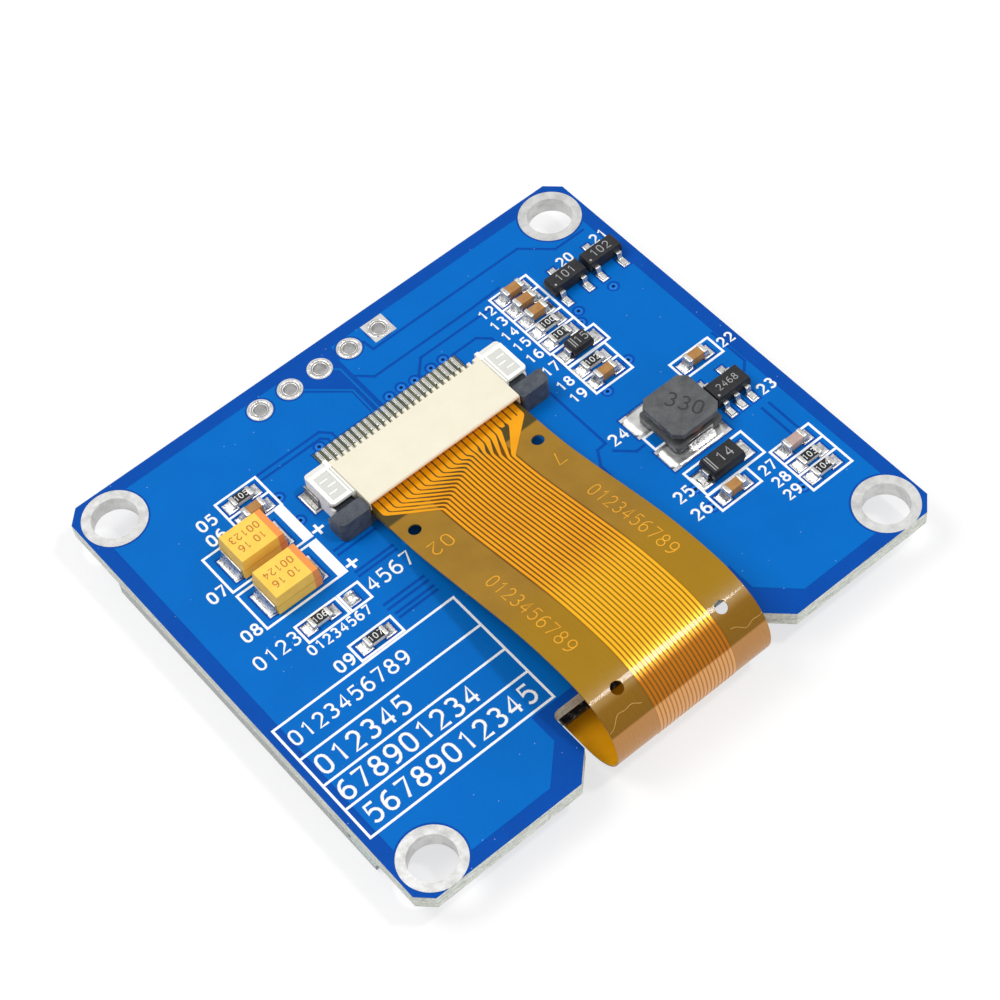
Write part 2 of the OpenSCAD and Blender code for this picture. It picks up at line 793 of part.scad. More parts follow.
// Outline of an end block, with its outer corners rounded
module block_outline() {
    r = 0.3;
    w = block_w + r;
    l = block_y1 - block_y0;
    intersection() {
        translate([plate_w / 2 + block_w - w / 2, block_y0 + l / 2]) rounded_rect(w, l, r);
        translate([plate_w / 2, block_y0]) square([block_w, l]);
    }
}

module contact_slots() {
    w = contact_w + slide_clear;
    for (i = [0:contact_count - 1]) translate([finger_x(i) - w / 2, 0, 0]) {
        box([0, contact_y0 - slide_clear, z_top + mouth_top - EPS],
            [w, plate_y1 + 1, z_top + contact_top + slide_clear]);
        box([0, contact_back - contact_t - slide_clear, z_top - 1],
            [w, plate_y1 + 1, z_top + contact_top + slide_clear]);
        box([0, plate_y1 - 0.3, z_top - 1], [w, plate_y1 + 1, z_top + housing_h + 1]);
    }
}

// Recess in the top of the end block, with short ribs left standing in it by turns left and right
module block_recess() {
    x0 = plate_w / 2 + 3 * groove_w + recess_rim / 2;
    x1 = block_x1 - recess_rim;
    y0 = block_y0 + recess_rim;
    y1 = block_y1 - step_l - recess_rim;
    rib_l = (x1 - x0) * 0.55;
    difference() {
        box([x0, y0, z_top + housing_h - recess_depth], [x1, y1, z_top + housing_h + 1]);
        for (i = [1:rib_count])
            translate([i % 2 == 0 ? x0 + rib_w : x1 - rib_w - rib_l, 0, 0])
                box([0, y0 + i * (y1 - y0) / (rib_count + 1) - rib_w / 2, z_top],
                    [rib_l, y0 + i * (y1 - y0) / (rib_count + 1) + rib_w / 2, z_top + housing_h + 2]);
    }
}

// What is cut from an end block: two grooves beside the plate, a recess, a step behind and a
// groove under the front lip
module block_cuts() {
    top = z_top + housing_h;
    half = plate_w / 2;
    for (x = [half, half + 2 * groove_w])
        box([x, block_y0 - 1, top - groove_depth], [x + groove_w, plate_y1 - 0.4, top + 1]);
    block_recess();
    box([half + 3 * groove_w, block_y1 - step_l, top - step_drop],
        [block_x1 + 1, block_y1 + 1, top + 1]);
    box([half + 2 * groove_w, block_y0 - 1, top - lip_t - groove_w],
        [block_x1 + 1, block_y0 + lip_groove, top - lip_t]);
}

module connector_housing() {
    z0 = z_top + standoff;
    z_mouth = z_top + mouth_top;
    half = plate_w / 2;
    color([0.98, 0.95, 0.86]) difference() {
        union() {
            box([-half, connector_y, z0], [half, plate_y1, z_top + housing_h]);
            both_sides() translate([0, 0, z0])
                linear_extrude(housing_h - standoff) block_outline();
        }
        // room for the slider's bar, open below and at the sides
        box([-half - 1, connector_y - 1, z0 - 1], [half + 1, block_y0 - slide_clear, z_mouth]);
        // room for the film and the slider's tongue
        box([-half, connector_y - 1, z0 + floor_t],
            [half, film_y_in + 2 * slide_clear, z_mouth]);
        contact_slots();
        both_sides() box(
            [half + channel_wall, block_y0 - 1, z_top + arm_z0 - slide_clear],
            [block_x1 - channel_wall, arm_y1 + slide_clear, z_top + arm_z1 + 6 * slide_clear]);
        both_sides() block_cuts();
        translate([0, connector_y, z_top + housing_h]) along_x(plate_w + 1) polygon([
            [-1, 1], [-1, -plate_bevel], [0, -plate_bevel], [plate_bevel, 0], [plate_bevel, 1]
        ]);
    }
}

// Outline of an ear, with its two front corners rounded
module ear_outline(w, l) {
    r = ear_inner_r;
    translate([ear_x0, slider_y0]) {
        translate([w / 2, l / 2]) rounded_rect(w, l, ear_r);
        translate([0, l / 2]) square([w, l / 2]);
        translate([0, r]) square([w / 2, l - r]);
        translate([r, 0]) square([w / 2 - r, l]);
        translate([r, r]) circle(r);
    }
}

module connector_slider() {
    z0 = z_top + standoff;
    w = slider_w / 2 - ear_x0;
    ear_l = ear_y1 - slider_y0;
    tongue_x = plate_w / 2 - 0.35;
    color([0.25, 0.28, 0.33]) {
        box([-ear_x0 - EPS, slider_y0 + 0.1, z0], [ear_x0 + EPS, bar_y1, z_top + tongue_top]);
        box([-tongue_x, bar_y1, z0 + floor_t + slide_clear],
            [tongue_x, tongue_y1, z_top + tongue_top]);
        both_sides() {
            translate([0, 0, z0]) linear_extrude(ear_h - standoff) ear_outline(w, ear_l);
            box([arm_x0, ear_y1 - EPS, z_top + arm_z0], [arm_x1, arm_y1, z_top + arm_z1]);
        }
    }
}

// Side view of a contact: tip, beam, riser and tail
module contact_outline() {
    tip = z_top + mouth_h + copper_outer;
    top = z_top + contact_top;
    back = contact_back;
    polygon([
        [contact_y0, tip], [contact_y0 + 1.5 * contact_t, tip],
        [contact_y0 + 2 * contact_t, top - contact_t],
        [back - contact_t, top - contact_t], [back - contact_t, z_pad],
        [plate_y1 + tail_l, z_pad], [plate_y1 + tail_l, z_pad + contact_t],
        [back, z_pad + contact_t], [back, top], [contact_y0, top]
    ]);
}

module connector_contacts() {
    color([0.8, 0.8, 0.78]) for (i = [0:contact_count - 1])
        translate([finger_x(i), 0, 0]) along_x(contact_w) contact_outline();
}

module connector_hold_downs() {
    color([0.75, 0.75, 0.75]) both_sides()
        translate([block_x1, block_y1 - hold_down_l / 2, z_pad]) along_y(hold_down_l) polygon([
            [0, 0], [hold_down_w, 0], [hold_down_w, contact_t], [contact_t, contact_t],
            [contact_t, housing_h * 0.45], [0, housing_h * 0.45]
        ]);
}

// ---- parts on the board ----

// A chip part with a metal end on each side, one fired piece
module chip(h) {
    t = chip_end_t;
    translate([0, 0, t]) block([chip_l - 2 * t, chip_w - 2 * t, h - 2 * t]);
    for (s = [-1, 1])
        translate([s * (chip_l - chip_end_l) / 2, 0, 0]) block([chip_end_l, chip_w, h]);
}

module ceramic_capacitor(i) {
    color([0.76, 0.52, 0.28]) at(CAPACITORS[i]) chip(capacitor_h);
}

module resistor(i) {
    color([0.12, 0.12, 0.12]) at(RESISTORS[i]) chip(resistor_h);
}

module tantalum_body(i) {
    t = tantalum_lead_t;
    lean = 0.1;
    h = tantalum_h;
    w = tantalum_w;
    l = tantalum_l;
    color([0.96, 0.7, 0.2]) at(on_left(TANTALUMS[i])) difference() {
        intersection() {
            along_x(l) polygon([
                [-w / 2 + lean / 2, t / 2], [w / 2 - lean / 2, t / 2], [w / 2, h * 0.45],
                [w / 2 - lean, h], [-w / 2 + lean, h], [-w / 2, h * 0.45]
            ]);
            along_y(w) polygon([
                [-l / 2, t / 2], [l / 2, t / 2], [l / 2, h * 0.5],
                [l / 2 - lean, h], [-l / 2 + lean, h], [-l / 2, h * 0.5]
            ]);
        }
        for (s = [-1, 1]) translate([s * l / 2, 0, -EPS]) block([1.6, tantalum_lead_w, t + EPS]);
    }
}

module tantalum_terminals(i) {
    t = tantalum_lead_t;
    l = tantalum_l / 2;
    color("silver") at(on_left(TANTALUMS[i])) both_sides() along_y(tantalum_lead_w) polygon([
        [l - 0.8, 0], [l + t, 0], [l + t, tantalum_h * 0.45], [l, tantalum_h * 0.45],
        [l, t], [l - 0.8, t]
    ]);
}

module inductor_core() {
    c = flange_cut;
    w = inductor_w / 2;
    color([0.28, 0.29, 0.3]) at(on_right(INDUCTOR)) {
        translate([0, 0, tantalum_lead_t]) difference() {
            linear_extrude(flange_t) rounded_rect(inductor_w, inductor_w, 0.3);
            inductor_recesses(flange_t);
        }
        cylinder(h = inductor_h - EPS, d = post_d);
        translate([0, 0, inductor_h - flange_t]) linear_extrude(flange_t) polygon([
            [-w + c, -w], [w - c, -w], [w, -w + c], [w, w - c],
            [w - c, w], [-w + c, w], [-w, w - c], [-w, -w + c]
        ]);
    }
}

// Room for the terminals in the lower flange's ends
module inductor_recesses(h) {
    for (s = [-1, 1])
        translate([0, s * inductor_w / 2, -EPS]) block([2.2, 2 * tantalum_lead_t, h + 2 * EPS]);
}

module inductor_winding() {
    z0 = tantalum_lead_t + flange_t;
    color([0.1, 0.08, 0.07]) at(on_right(INDUCTOR)) translate([0, 0, z0]) difference() {
        cylinder(h = inductor_h - flange_t - z0, d = winding_d);
        translate([0, 0, -1]) cylinder(h = inductor_h + 2, d = post_d);
    }
}

module inductor_terminals() {
    t = tantalum_lead_t;
    w = inductor_w / 2;
    color("silver") at(on_right(INDUCTOR)) for (m = [0, 1]) mirror([0, m, 0])
        along_x(2.2) polygon([
            [w, 0], [w, t + flange_t], [w - t, t + flange_t], [w - t, t], [w - 1, t], [w - 1, 0]
        ]);
}

module small_package(place, size) {
    color([0.13, 0.13, 0.14]) at(on_right(place)) package(size);
}

module converter_body() {
    small_package(CONVERTER, SOT5_BODY);
}

module converter_leads() {
    color("silver") at(on_right(CONVERTER)) sot_leads(SOT5_BODY, SOT5_SPOTS);
}

module regulator_body(i) {
    small_package(REGULATORS[i], SOT_BODY);
}

module regulator_leads(i) {
    color("silver") at(on_right(REGULATORS[i])) sot_leads(SOT_BODY, SOT3_SPOTS);
}

module diode_leads(place, size) {
    color("silver") at(on_right(place)) for (a = [0, 180]) rotate(a) rotate(90)
        translate([0, -size.x / 2, 0]) gull_wing(diode_lead_w, diode_reach, size.z);
}

module boost_diode_body() {
    small_package(BOOST_DIODE, BOOST_DIODE_BODY);
}

module boost_diode_leads() {
    diode_leads(BOOST_DIODE, BOOST_DIODE_BODY);
}

module reset_diode_body() {
    small_package(RESET_DIODE, RESET_DIODE_BODY);
}

module reset_diode_leads() {
    diode_leads(RESET_DIODE, RESET_DIODE_BODY);
}

// ---- solder ----

module chip_solder(place, h) {
    at(place) both_sides() translate([chip_l / 2, 0, 0])
        solder_wedge(chip_w, (chip_pads_l - chip_l) / 2, h * solder_rise);
}

module solder_chips() {
    color([0.72, 0.72, 0.7]) {
        for (p = CAPACITORS) chip_solder(p, capacitor_h);
        for (p = RESISTORS) chip_solder(p, resistor_h);
        for (p = TANTALUMS) at(on_left(p)) both_sides()
            translate([tantalum_l / 2 + tantalum_lead_t, 0, 0])
                solder_wedge(tantalum_lead_w, 0.45, tantalum_h * 0.3);
        at(on_left(BLANK_PAD)) block([chip_pad_l * 0.8, chip_pad_w * 0.8, 0.3]);
    }
}

module solder_leads() {
    toe = 1.5 * sot_reach;
    color([0.72, 0.72, 0.7]) {
        for (p = REGULATORS) toe_solder(p, SOT_BODY, SOT3_SPOTS, toe);
        toe_solder(CONVERTER, SOT5_BODY, SOT5_SPOTS, toe);
        diode_solder(BOOST_DIODE, BOOST_DIODE_BODY);
        diode_solder(RESET_DIODE, RESET_DIODE_BODY);
        at(on_right(INDUCTOR)) for (a = [90, 270]) rotate(a)
            translate([inductor_w / 2, 0, 0]) solder_wedge(2.2, 0.6, 0.4);
    }
}

module toe_solder(place, size, spots, toe) {
    at(on_right(place)) for (s = spots)
        translate([s.x * sot_pitch, s.y * (size.y / 2 + toe), 0]) rotate(s.y * 90)
            solder_wedge(sot_lead_w, lead_pad_margin, lead_t);
}

module diode_solder(place, size) {
    at(on_right(place)) both_sides() translate([size.x / 2 + 1.5 * diode_reach, 0, 0])
        solder_wedge(diode_lead_w, lead_pad_margin, lead_t);
}

circuit_board();
mounting_hole_plating();
header_pads();
solder_pads();
polarizer();
front_glass();
emitting_layer();
edge_seal();
cover_glass();
desiccant_sheet();
driver_chip();
flex_bond_resin();
foam_tape();
flex_film();
flex_tracks();
flex_stiffener();
connector_housing();
connector_slider();
connector_contacts();
connector_hold_downs();
inductor_core();
inductor_winding();
inductor_terminals();
converter_body();
converter_leads();
regulator_body(0);  // regulator_1_body
regulator_leads(0);  // regulator_1_leads
regulator_body(1);  // regulator_2_body
regulator_leads(1);  // regulator_2_leads
boost_diode_body();
boost_diode_leads();
reset_diode_body();
reset_diode_leads();
tantalum_body(0);  // tantalum_1_body
tantalum_terminals(0);  // tantalum_1_terminals
tantalum_body(1);  // tantalum_2_body
tantalum_terminals(1);  // tantalum_2_terminals
ceramic_capacitor(0);  // ceramic_capacitor_1
ceramic_capacitor(1);  // ceramic_capacitor_2
ceramic_capacitor(2);  // ceramic_capacitor_3
ceramic_capacitor(3);  // ceramic_capacitor_4
ceramic_capacitor(4);  // ceramic_capacitor_5
ceramic_capacitor(5);  // ceramic_capacitor_6
ceramic_capacitor(6);  // ceramic_capacitor_7
ceramic_capacitor(7);  // ceramic_capacitor_8
resistor(0);  // resistor_1
resistor(1);  // resistor_2
resistor(2);  // resistor_3
resistor(3);  // resistor_4
resistor(4);  // resistor_5
resistor(5);  // resistor_6
resistor(6);  // resistor_7
resistor(7);  // resistor_8
solder_chips();
solder_leads();
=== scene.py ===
"""Small OLED display module, component side up: its visible pieces, stage, lamps and camera."""

import logging
import math
from dataclasses import dataclass, field
from enum import Enum
from typing import Callable, Iterable, Optional, Sequence

import bmesh
import bpy
from mathutils import Matrix, Vector


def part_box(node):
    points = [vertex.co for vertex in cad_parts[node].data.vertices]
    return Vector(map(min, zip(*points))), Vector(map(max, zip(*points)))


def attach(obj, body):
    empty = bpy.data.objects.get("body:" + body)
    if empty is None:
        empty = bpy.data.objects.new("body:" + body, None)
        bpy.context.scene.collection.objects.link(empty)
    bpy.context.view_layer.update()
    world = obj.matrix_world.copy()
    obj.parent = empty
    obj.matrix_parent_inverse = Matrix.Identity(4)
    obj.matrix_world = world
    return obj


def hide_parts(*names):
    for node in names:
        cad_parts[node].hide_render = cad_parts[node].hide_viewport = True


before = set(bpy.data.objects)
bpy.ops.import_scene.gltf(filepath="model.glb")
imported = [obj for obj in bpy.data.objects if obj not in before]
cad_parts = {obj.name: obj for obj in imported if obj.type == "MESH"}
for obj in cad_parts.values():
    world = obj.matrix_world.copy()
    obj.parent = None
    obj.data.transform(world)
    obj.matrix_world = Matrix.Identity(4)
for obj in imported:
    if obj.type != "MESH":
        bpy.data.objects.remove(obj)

MM = 0.001
MERGE = 2e-7  # metres within which two corners are one
OFF = 99.0  # a band that starts this far out isn't painted
MOUTH_H = 1.05  # the film's middle in the connector, over the board
PRINT_T = 0.008  # thickness of the print on parts
SINK = 0.004  # how far a print reaches into its part
Point = tuple[float, float, float]
Spot2 = tuple[float, float]
Chain = Sequence[Spot2]
Colour = tuple[float, float, float]
Piece = bpy.types.Object
Socket = bpy.types.NodeSocket
Mesh = bpy.types.Mesh
Node = bpy.types.Node
Tree = bpy.types.NodeTree
WHITE: Colour = (1.0, 1.0, 1.0)
log = logging.getLogger("display_module")


class Body(Enum):
    """The two bodies that pieces ride on."""

    MODULE = "module"
    SLIDER = "slider"


class Slot(Enum):
    """The record's material slots."""

    MASK = "solder_mask"
    TIN = "tin"
    SOLDER = "solder"
    POLARIZER = "polarizer"
    GLASS = "display_glass"
    EMITTER = "emitter"
    SEAL = "seal"
    SILICON = "silicon"
    RESIN = "resin"
    FOAM = "foam"
    POLYIMIDE = "polyimide"
    COPPER = "film_copper"
    STIFFENER = "film_stiffener"
    CREAM = "connector_cream"
    GREY = "connector_grey"
    CONTACT = "contact_metal"
    FERRITE = "ferrite"
    WINDING = "winding"
    BLACK = "package_black"
    TANTALUM = "tantalum_case"
    TAN = "ceramic_tan"
    PINK = "ceramic_pink"
    RESISTOR = "resistor_black"


# ---- nodes ----


def feed(node: Node, index: int | str, value: object) -> None:
    """Links a socket to a node's input, or sets the input's own value.

    Args:
        node: The node that takes the value.
        index: The input's number or name.
        value: A socket, a number, a word or a colour.
    """
    entry = node.inputs[index]
    if isinstance(value, Socket):
        node.id_data.links.new(value, entry)
    elif isinstance(value, tuple) and len(entry.default_value) == 4:
        entry.default_value = (*value, 1.0)
    else:
        entry.default_value = value


def add_node(tree: Tree, kind: str, inputs: Optional[dict] = None, **settings: object) -> Node:
    """Adds a node to a tree.

    Args:
        tree: The node tree.
        kind: The node's type.
        inputs: What each fed input takes, by the input's number or name.
        **settings: The node's own settings.

    Returns:
        The node.
    """
    node = tree.nodes.new(kind)
    for name, value in settings.items():
        setattr(node, name, value)
    for index, value in (inputs or {}).items():
        feed(node, index, value)
    return node


def empty_material(name: str) -> bpy.types.Material:
    """A new material whose node tree is empty."""
    material = bpy.data.materials.new(name)
    material.use_nodes = True
    material.node_tree.nodes.clear()
    return material


class Graph:
    """A material's node tree, with short calls for the nodes that the finishes use."""

    def __init__(self, name: str) -> None:
        """Starts a material with one principled shader.

        Args:
            name: The material's name.
        """
        self.material = empty_material(name)
        self.shader = self.add("ShaderNodeBsdfPrincipled")
        self.add("ShaderNodeOutputMaterial", {0: self.shader.outputs[0]})
        self.place = self.add("ShaderNodeTexCoord").outputs["Object"]

    def add(self, kind: str, inputs: Optional[dict] = None, **settings: object) -> Node:
        """Adds a node to this material, as add_node does."""
        return add_node(self.material.node_tree, kind, inputs, **settings)

    def put(self, **values: object) -> None:
        """Sets or links inputs of the principled shader, by name with _ for a space.

        Args:
            **values: A socket, number or colour for each input.
        """
        for name, value in values.items():
            feed(self.shader, name.replace("_", " "), value)

    def noise(self, size: float, detail: float = 2.0, stretch: Point = (1, 1, 1), seed: float = 0.0,
              rough: float = 0.5) -> Socket:
        """Smooth noise on object coordinates.

        Args:
            size: Size of its features in millimetres.
            detail: How many finer octaves it adds.
            stretch: How much longer the features are along each axis.
            seed: Moves the pattern to another part of the noise.
            rough: Strength of the finer octaves.

        Returns:
            The noise's value, about 0.5 in the middle.
        """
        at = self.add("ShaderNodeMapping", {
            0: self.place, "Scale": [1 / (size * MM * s) for s in stretch],
            "Location": (seed * 7.3, seed * 3.1, seed * 5.7)})
        return self.add("ShaderNodeTexNoise", {
            "Vector": at.outputs[0], "Scale": 1.0, "Detail": detail, "Roughness": rough}).outputs[0]

    def spots(self, size: float, share: float, seed: float = 0.0) -> Socket:
        """Scattered small spots.

        Args:
            size: Distance between neighbouring cells in millimetres.
            share: Radius of a spot as a share of the cell.
            seed: Moves the pattern.

        Returns:
            1 inside a spot, 0 elsewhere.
        """
        at = self.add("ShaderNodeMapping", {
            0: self.place, "Scale": [1 / (size * MM)] * 3, "Location": (seed, seed * 2.0, seed * 3.0)})
        cells = self.add("ShaderNodeTexVoronoi", {"Vector": at.outputs[0], "Scale": 1.0})
        return self.math("LESS_THAN", cells.outputs["Distance"], share)

    def math(self, what: str, a: object, b: object = 0.0, c: object = 0.0) -> Socket:
        """The result of an operation on up to three values or sockets."""
        return self.add("ShaderNodeMath", {0: a, 1: b, 2: c}, operation=what).outputs[0]

    def times(self, a: object, b: object) -> Socket:
        """The product of two values or sockets."""
        return self.math("MULTIPLY", a, b)

    def plus(self, a: object, b: object) -> Socket:
        """The sum of two values or sockets."""
        return self.math("ADD", a, b)

    def axis(self, index: int) -> Socket:
        """One object coordinate, in metres."""
        return self.add("ShaderNodeSeparateXYZ", {0: self.place}).outputs[index]

    def facing(self, index: int) -> Socket:
        """How much a face looks along one object axis, from 0 to 1."""
        normal = self.add("ShaderNodeTexCoord").outputs["Normal"]
        return self.math("ABSOLUTE", self.add("ShaderNodeSeparateXYZ", {0: normal}).outputs[index])

    def within(self, index: int, low: float, high: float, soft: float = 0.01) -> Socket:
        """Marks a band along one axis.

        Args:
            index: The axis.
            low: Where the band starts, in millimetres.
            high: Where it ends, in millimetres.
            soft: Width of its soft edge in millimetres.

        Returns:
            1 inside the band, 0 outside.
        """
        middle, half = (low + high) / 2 * MM, (high - low) / 2 * MM
        away = self.math("ABSOLUTE", self.math("SUBTRACT", self.axis(index), middle))
        edge = self.math("DIVIDE", self.math("SUBTRACT", half, away), soft * MM)
        return self.add("ShaderNodeClamp", {0: self.plus(edge, 0.5)}).outputs[0]

    def ramp(self, value: object, low: float, high: float) -> Socket:
        """Stretches a value's range, from low to high, to 0 to 1 and clamps it."""
        return self.add("ShaderNodeMapRange", {0: value, 1: low, 2: high, 3: 0.0, 4: 1.0}).outputs[0]

    def mix(self, share: object, a: object, b: object) -> Socket:
        """Mixes two colours, by the share of the second."""
        return self.add("ShaderNodeMix", {0: share, 6: a, 7: b}, data_type="RGBA").outputs[2]

    def base(self) -> Socket:
        """The colour that the shader shows so far."""
        return self.shader.inputs["Base Color"].links[0].from_socket

    def relief(self, height: Socket, depth: float) -> None:
        """Adds bumps to the surface, on top of those added before.

        Args:
            height: The height pattern, from 0 to 1.
            depth: Height of a bump in millimetres.
        """
        inputs = {"Height": height, "Strength": 1.0, "Distance": depth * MM}
        normal = self.shader.inputs["Normal"]
        if normal.is_linked:
            inputs["Normal"] = normal.links[0].from_socket
        feed(self.shader, "Normal", self.add("ShaderNodeBump", inputs).outputs[0])


# ---- finishes ----


@dataclass(frozen=True)
class Finish:
    """A surface finish. Each kind of finish paints its own pattern."""

    name: str
    colour: Colour
    gloss: float = 0.5

    def paint(self, graph: Graph) -> None:
        """Adds this finish's pattern to a graph."""
        raise NotImplementedError

    def material(self) -> bpy.types.Material:
        """The finish's material, made at its first use."""
        name = f"look_{self.name}"
        found = bpy.data.materials.get(name)
        if found:
            return found
        graph = Graph(name)
        graph.put(Roughness=self.gloss)
        self.paint(graph)
        return graph.material


@dataclass(frozen=True)
class Moulded(Finish):
    """Moulded plastic, epoxy or ferrite: a fine grain, cloudy tone and stray specks."""

    dark: Colour = (0.0, 0.0, 0.0)
    speck: Colour = WHITE
    grain: float = 0.06
    depth: float = 0.004
    cloud: float = 1.2
    specks: float = 0.1

    def paint(self, graph: Graph) -> None:
        """Adds the grain, the cloudy tone and the specks."""
        tone = graph.ramp(graph.noise(self.cloud, 3), 0.3, 0.7)
        colour = graph.mix(tone, self.dark, self.colour)
        fine = graph.noise(self.grain, 2, seed=2)
        colour = graph.mix(graph.times(graph.ramp(fine, 0.55, 0.8), 0.35), colour, self.speck)
        colour = graph.mix(graph.spots(self.grain * 4, self.specks, 1), colour, self.speck)
        graph.put(Base_Color=colour, Specular_IOR_Level=0.25)
        graph.put(Roughness=graph.plus(self.gloss - 0.08, graph.times(fine, 0.16)))
        graph.relief(fine, self.depth)


@dataclass(frozen=True)
class Metal(Finish):
    """Tin, solder or sheet metal: uneven gloss, dull patches and fine lines along one axis."""

    stain: Colour = (0.4, 0.38, 0.36)
    patch: float = 0.5
    depth: float = 0.01
    lines: int = -1
    stained: float = 0.4

    def paint(self, graph: Graph) -> None:
        """Adds the patches, the waves and the drawn lines."""
        patch = graph.ramp(graph.noise(self.patch, 4, rough=0.6), 0.42, 0.72)
        colour = graph.mix(graph.times(patch, self.stained), self.colour, self.stain)
        graph.put(Base_Color=colour, Metallic=1.0)
        wave = graph.noise(self.patch * 0.6, 3, seed=3)
        graph.put(Roughness=graph.plus(self.gloss - 0.1, graph.times(wave, 0.25)))
        graph.relief(wave, self.depth)
        graph.relief(graph.noise(self.patch * 0.12, 2, seed=5), self.depth * 0.06)
        if self.lines >= 0:
            stretch = tuple(20.0 if i == self.lines else 1.0 for i in range(3))
            graph.relief(graph.noise(0.03, 1, stretch=stretch, seed=4), self.depth * 0.3)


@dataclass(frozen=True)
class Mask(Finish):
    """Solder mask: a glossy blue coat, faintly mottled, with the weave showing through and dust on it."""

    deep: Colour = (0.0, 0.05, 0.3)
    mottle: float = 0.4
    shine: float = 0.09

    def skin(self, graph: Graph) -> Socket:
        """The coat's colour, with its relief added.

        Args:
            graph: The graph to add it to.

        Returns:
            The colour.
        """
        cloud = graph.ramp(graph.noise(3.0, 4), 0.25, 0.75)
        fine = graph.noise(0.12, 3, seed=1)
        tone = graph.times(graph.plus(cloud, graph.ramp(fine, 0.3, 0.8)), self.mottle)
        colour = graph.mix(tone, self.colour, self.deep)
        dust = graph.spots(0.9, 0.035, 4)
        colour = graph.mix(graph.times(dust, 0.5), colour, (0.6, 0.75, 0.95))
        weave = graph.noise(0.25, 2, stretch=(4, 1, 1), seed=6)
        graph.relief(weave, 0.0012)
        graph.relief(fine, 0.0012)
        return colour

    def paint(self, graph: Graph) -> None:
        """Adds the coat and its uneven gloss."""
        graph.put(Base_Color=self.skin(graph), Specular_IOR_Level=self.shine)
        graph.put(Roughness=graph.plus(self.gloss, graph.times(graph.noise(0.4, 3, seed=8), 0.12)))


@dataclass(frozen=True)
class Laminate(Mask):
    """The board: mask on its faces, cut glass laminate on its edges and in its holes."""

    edge: Colour = (0.76, 0.78, 0.72)
    edge_dark: Colour = (0.45, 0.48, 0.43)

    def paint(self, graph: Graph) -> None:
        """Adds the mask on the faces and the laminate's layers on the edges."""
        face = graph.ramp(graph.facing(2), 0.5, 0.6)
        layers = graph.noise(0.16, 2, stretch=(9, 9, 0.8), seed=9)
        chips = graph.noise(0.2, 4, seed=10)
        worn = graph.plus(graph.times(layers, 0.6), graph.times(chips, 0.5))
        cut = graph.mix(graph.ramp(worn, 0.42, 0.68), self.edge_dark, self.edge)
        graph.put(Base_Color=graph.mix(face, cut, self.skin(graph)), Specular_IOR_Level=self.shine)
        graph.put(Roughness=graph.math("SUBTRACT", 0.8, graph.times(face, 0.8 - self.gloss)))
        graph.relief(graph.times(worn, graph.math("SUBTRACT", 1.0, face)), 0.06)


@dataclass(frozen=True)
class Coated(Finish):
    """A thin plastic film: cloudy tone, drawn streaks and a glossy coat, with painted reflections round the
    bend and painted shade where set.
    """

    deep: Colour = (0.2, 0.12, 0.01)
    streak: float = 0.12
    coat: float = 0.1
    shine: float = 0.12
    metallic: float = 0.0
    # The darker end: partly the stiffener seen through the film, partly painted shade near the connector.
    stiffener_shade_from: float = OFF
    stiffener_shade_to: float = 60.0
    dark: Colour = (0.1, 0.07, 0.02)
    gap_low: float = 0.0
    gap_high: float = 0.0
    gap: Colour = (0.12, 0.05, 0.004)
    bend_y: float = -OFF
    bend_z: float = 5.55
    crown_y: float = -9.0
    out_y: float = -40.0
    low_z: float = 2.0
    # The next three colours are painted reflections round the bend: a dark one past the highlight, a paler
    # one lower down the shoulder and a bright yellow sheen over the crown.
    upper_reflection: Colour = (0.2, 0.09, 0.003)
    lower_reflection: Colour = (0.5, 0.24, 0.08)
    crown: Colour = (0.33, 0.175, 0.003)

    def paint(self, graph: Graph) -> None:
        """Adds the tone, the streaks along Y, the darker film across the bundle, painted reflections in bands
        round the bend and the darker end, which is partly the stiffener seen through the film and partly
        painted shade near the connector.
        """
        cloud = graph.ramp(graph.noise(2.5, 4), 0.3, 0.7)
        lines = graph.noise(0.15, 2, stretch=(1, 12, 6), seed=2)
        tone = graph.plus(graph.times(cloud, 0.6), graph.times(lines, self.streak))
        colour = graph.mix(tone, self.colour, self.deep)
        if self.gap_high > self.gap_low:
            colour = graph.mix(graph.within(0, self.gap_low, self.gap_high, 0.1), colour, self.gap)
        if self.bend_y > -OFF:
            # Painted reflections: a bright yellow sheen over the crown up to the highlight, a dark reflection
            # past it and a paler reflection lower down the shoulder.
            crown_sheen_mask = graph.times(graph.within(1, self.bend_y, self.crown_y, 3.0), 0.7)
            colour = graph.mix(crown_sheen_mask, colour, self.crown)
            out = graph.within(1, self.out_y, self.bend_y, 0.7)
            colour = graph.mix(graph.times(out, 0.85), colour, self.upper_reflection)
            down = graph.times(out, graph.within(2, self.low_z, self.bend_z, 0.12))
            colour = graph.mix(graph.times(down, 0.85), colour, self.lower_reflection)
        # Darker end towards the connector: partly the stiffener seen through the film, partly painted shade
        # in front of the connector plate.
        if self.stiffener_shade_from < OFF:
            colour = graph.mix(graph.within(1, self.stiffener_shade_from, self.stiffener_shade_to, 0.15), colour, self.dark)
        graph.put(Base_Color=colour, Metallic=self.metallic, Coat_Weight=self.coat, Coat_Roughness=0.06)
        graph.put(Specular_IOR_Level=self.shine)
        graph.put(Roughness=graph.plus(self.gloss, graph.times(lines, 0.12)))
        graph.relief(graph.noise(1.6, 2, seed=5), 0.02)
        graph.relief(lines, 0.0004)


@dataclass(frozen=True)
class Ink(Finish):
    """Printed ink: an even tone that thins out in small spots."""

    thin: Colour = (0.6, 0.7, 0.8)

    def paint(self, graph: Graph) -> None:
        """Adds the thin spots and a soft grain."""
        fine = graph.noise(0.07, 3)
        graph.put(Base_Color=graph.mix(graph.ramp(fine, 0.62, 0.85), self.colour, self.thin))
        graph.relief(fine, 0.003)


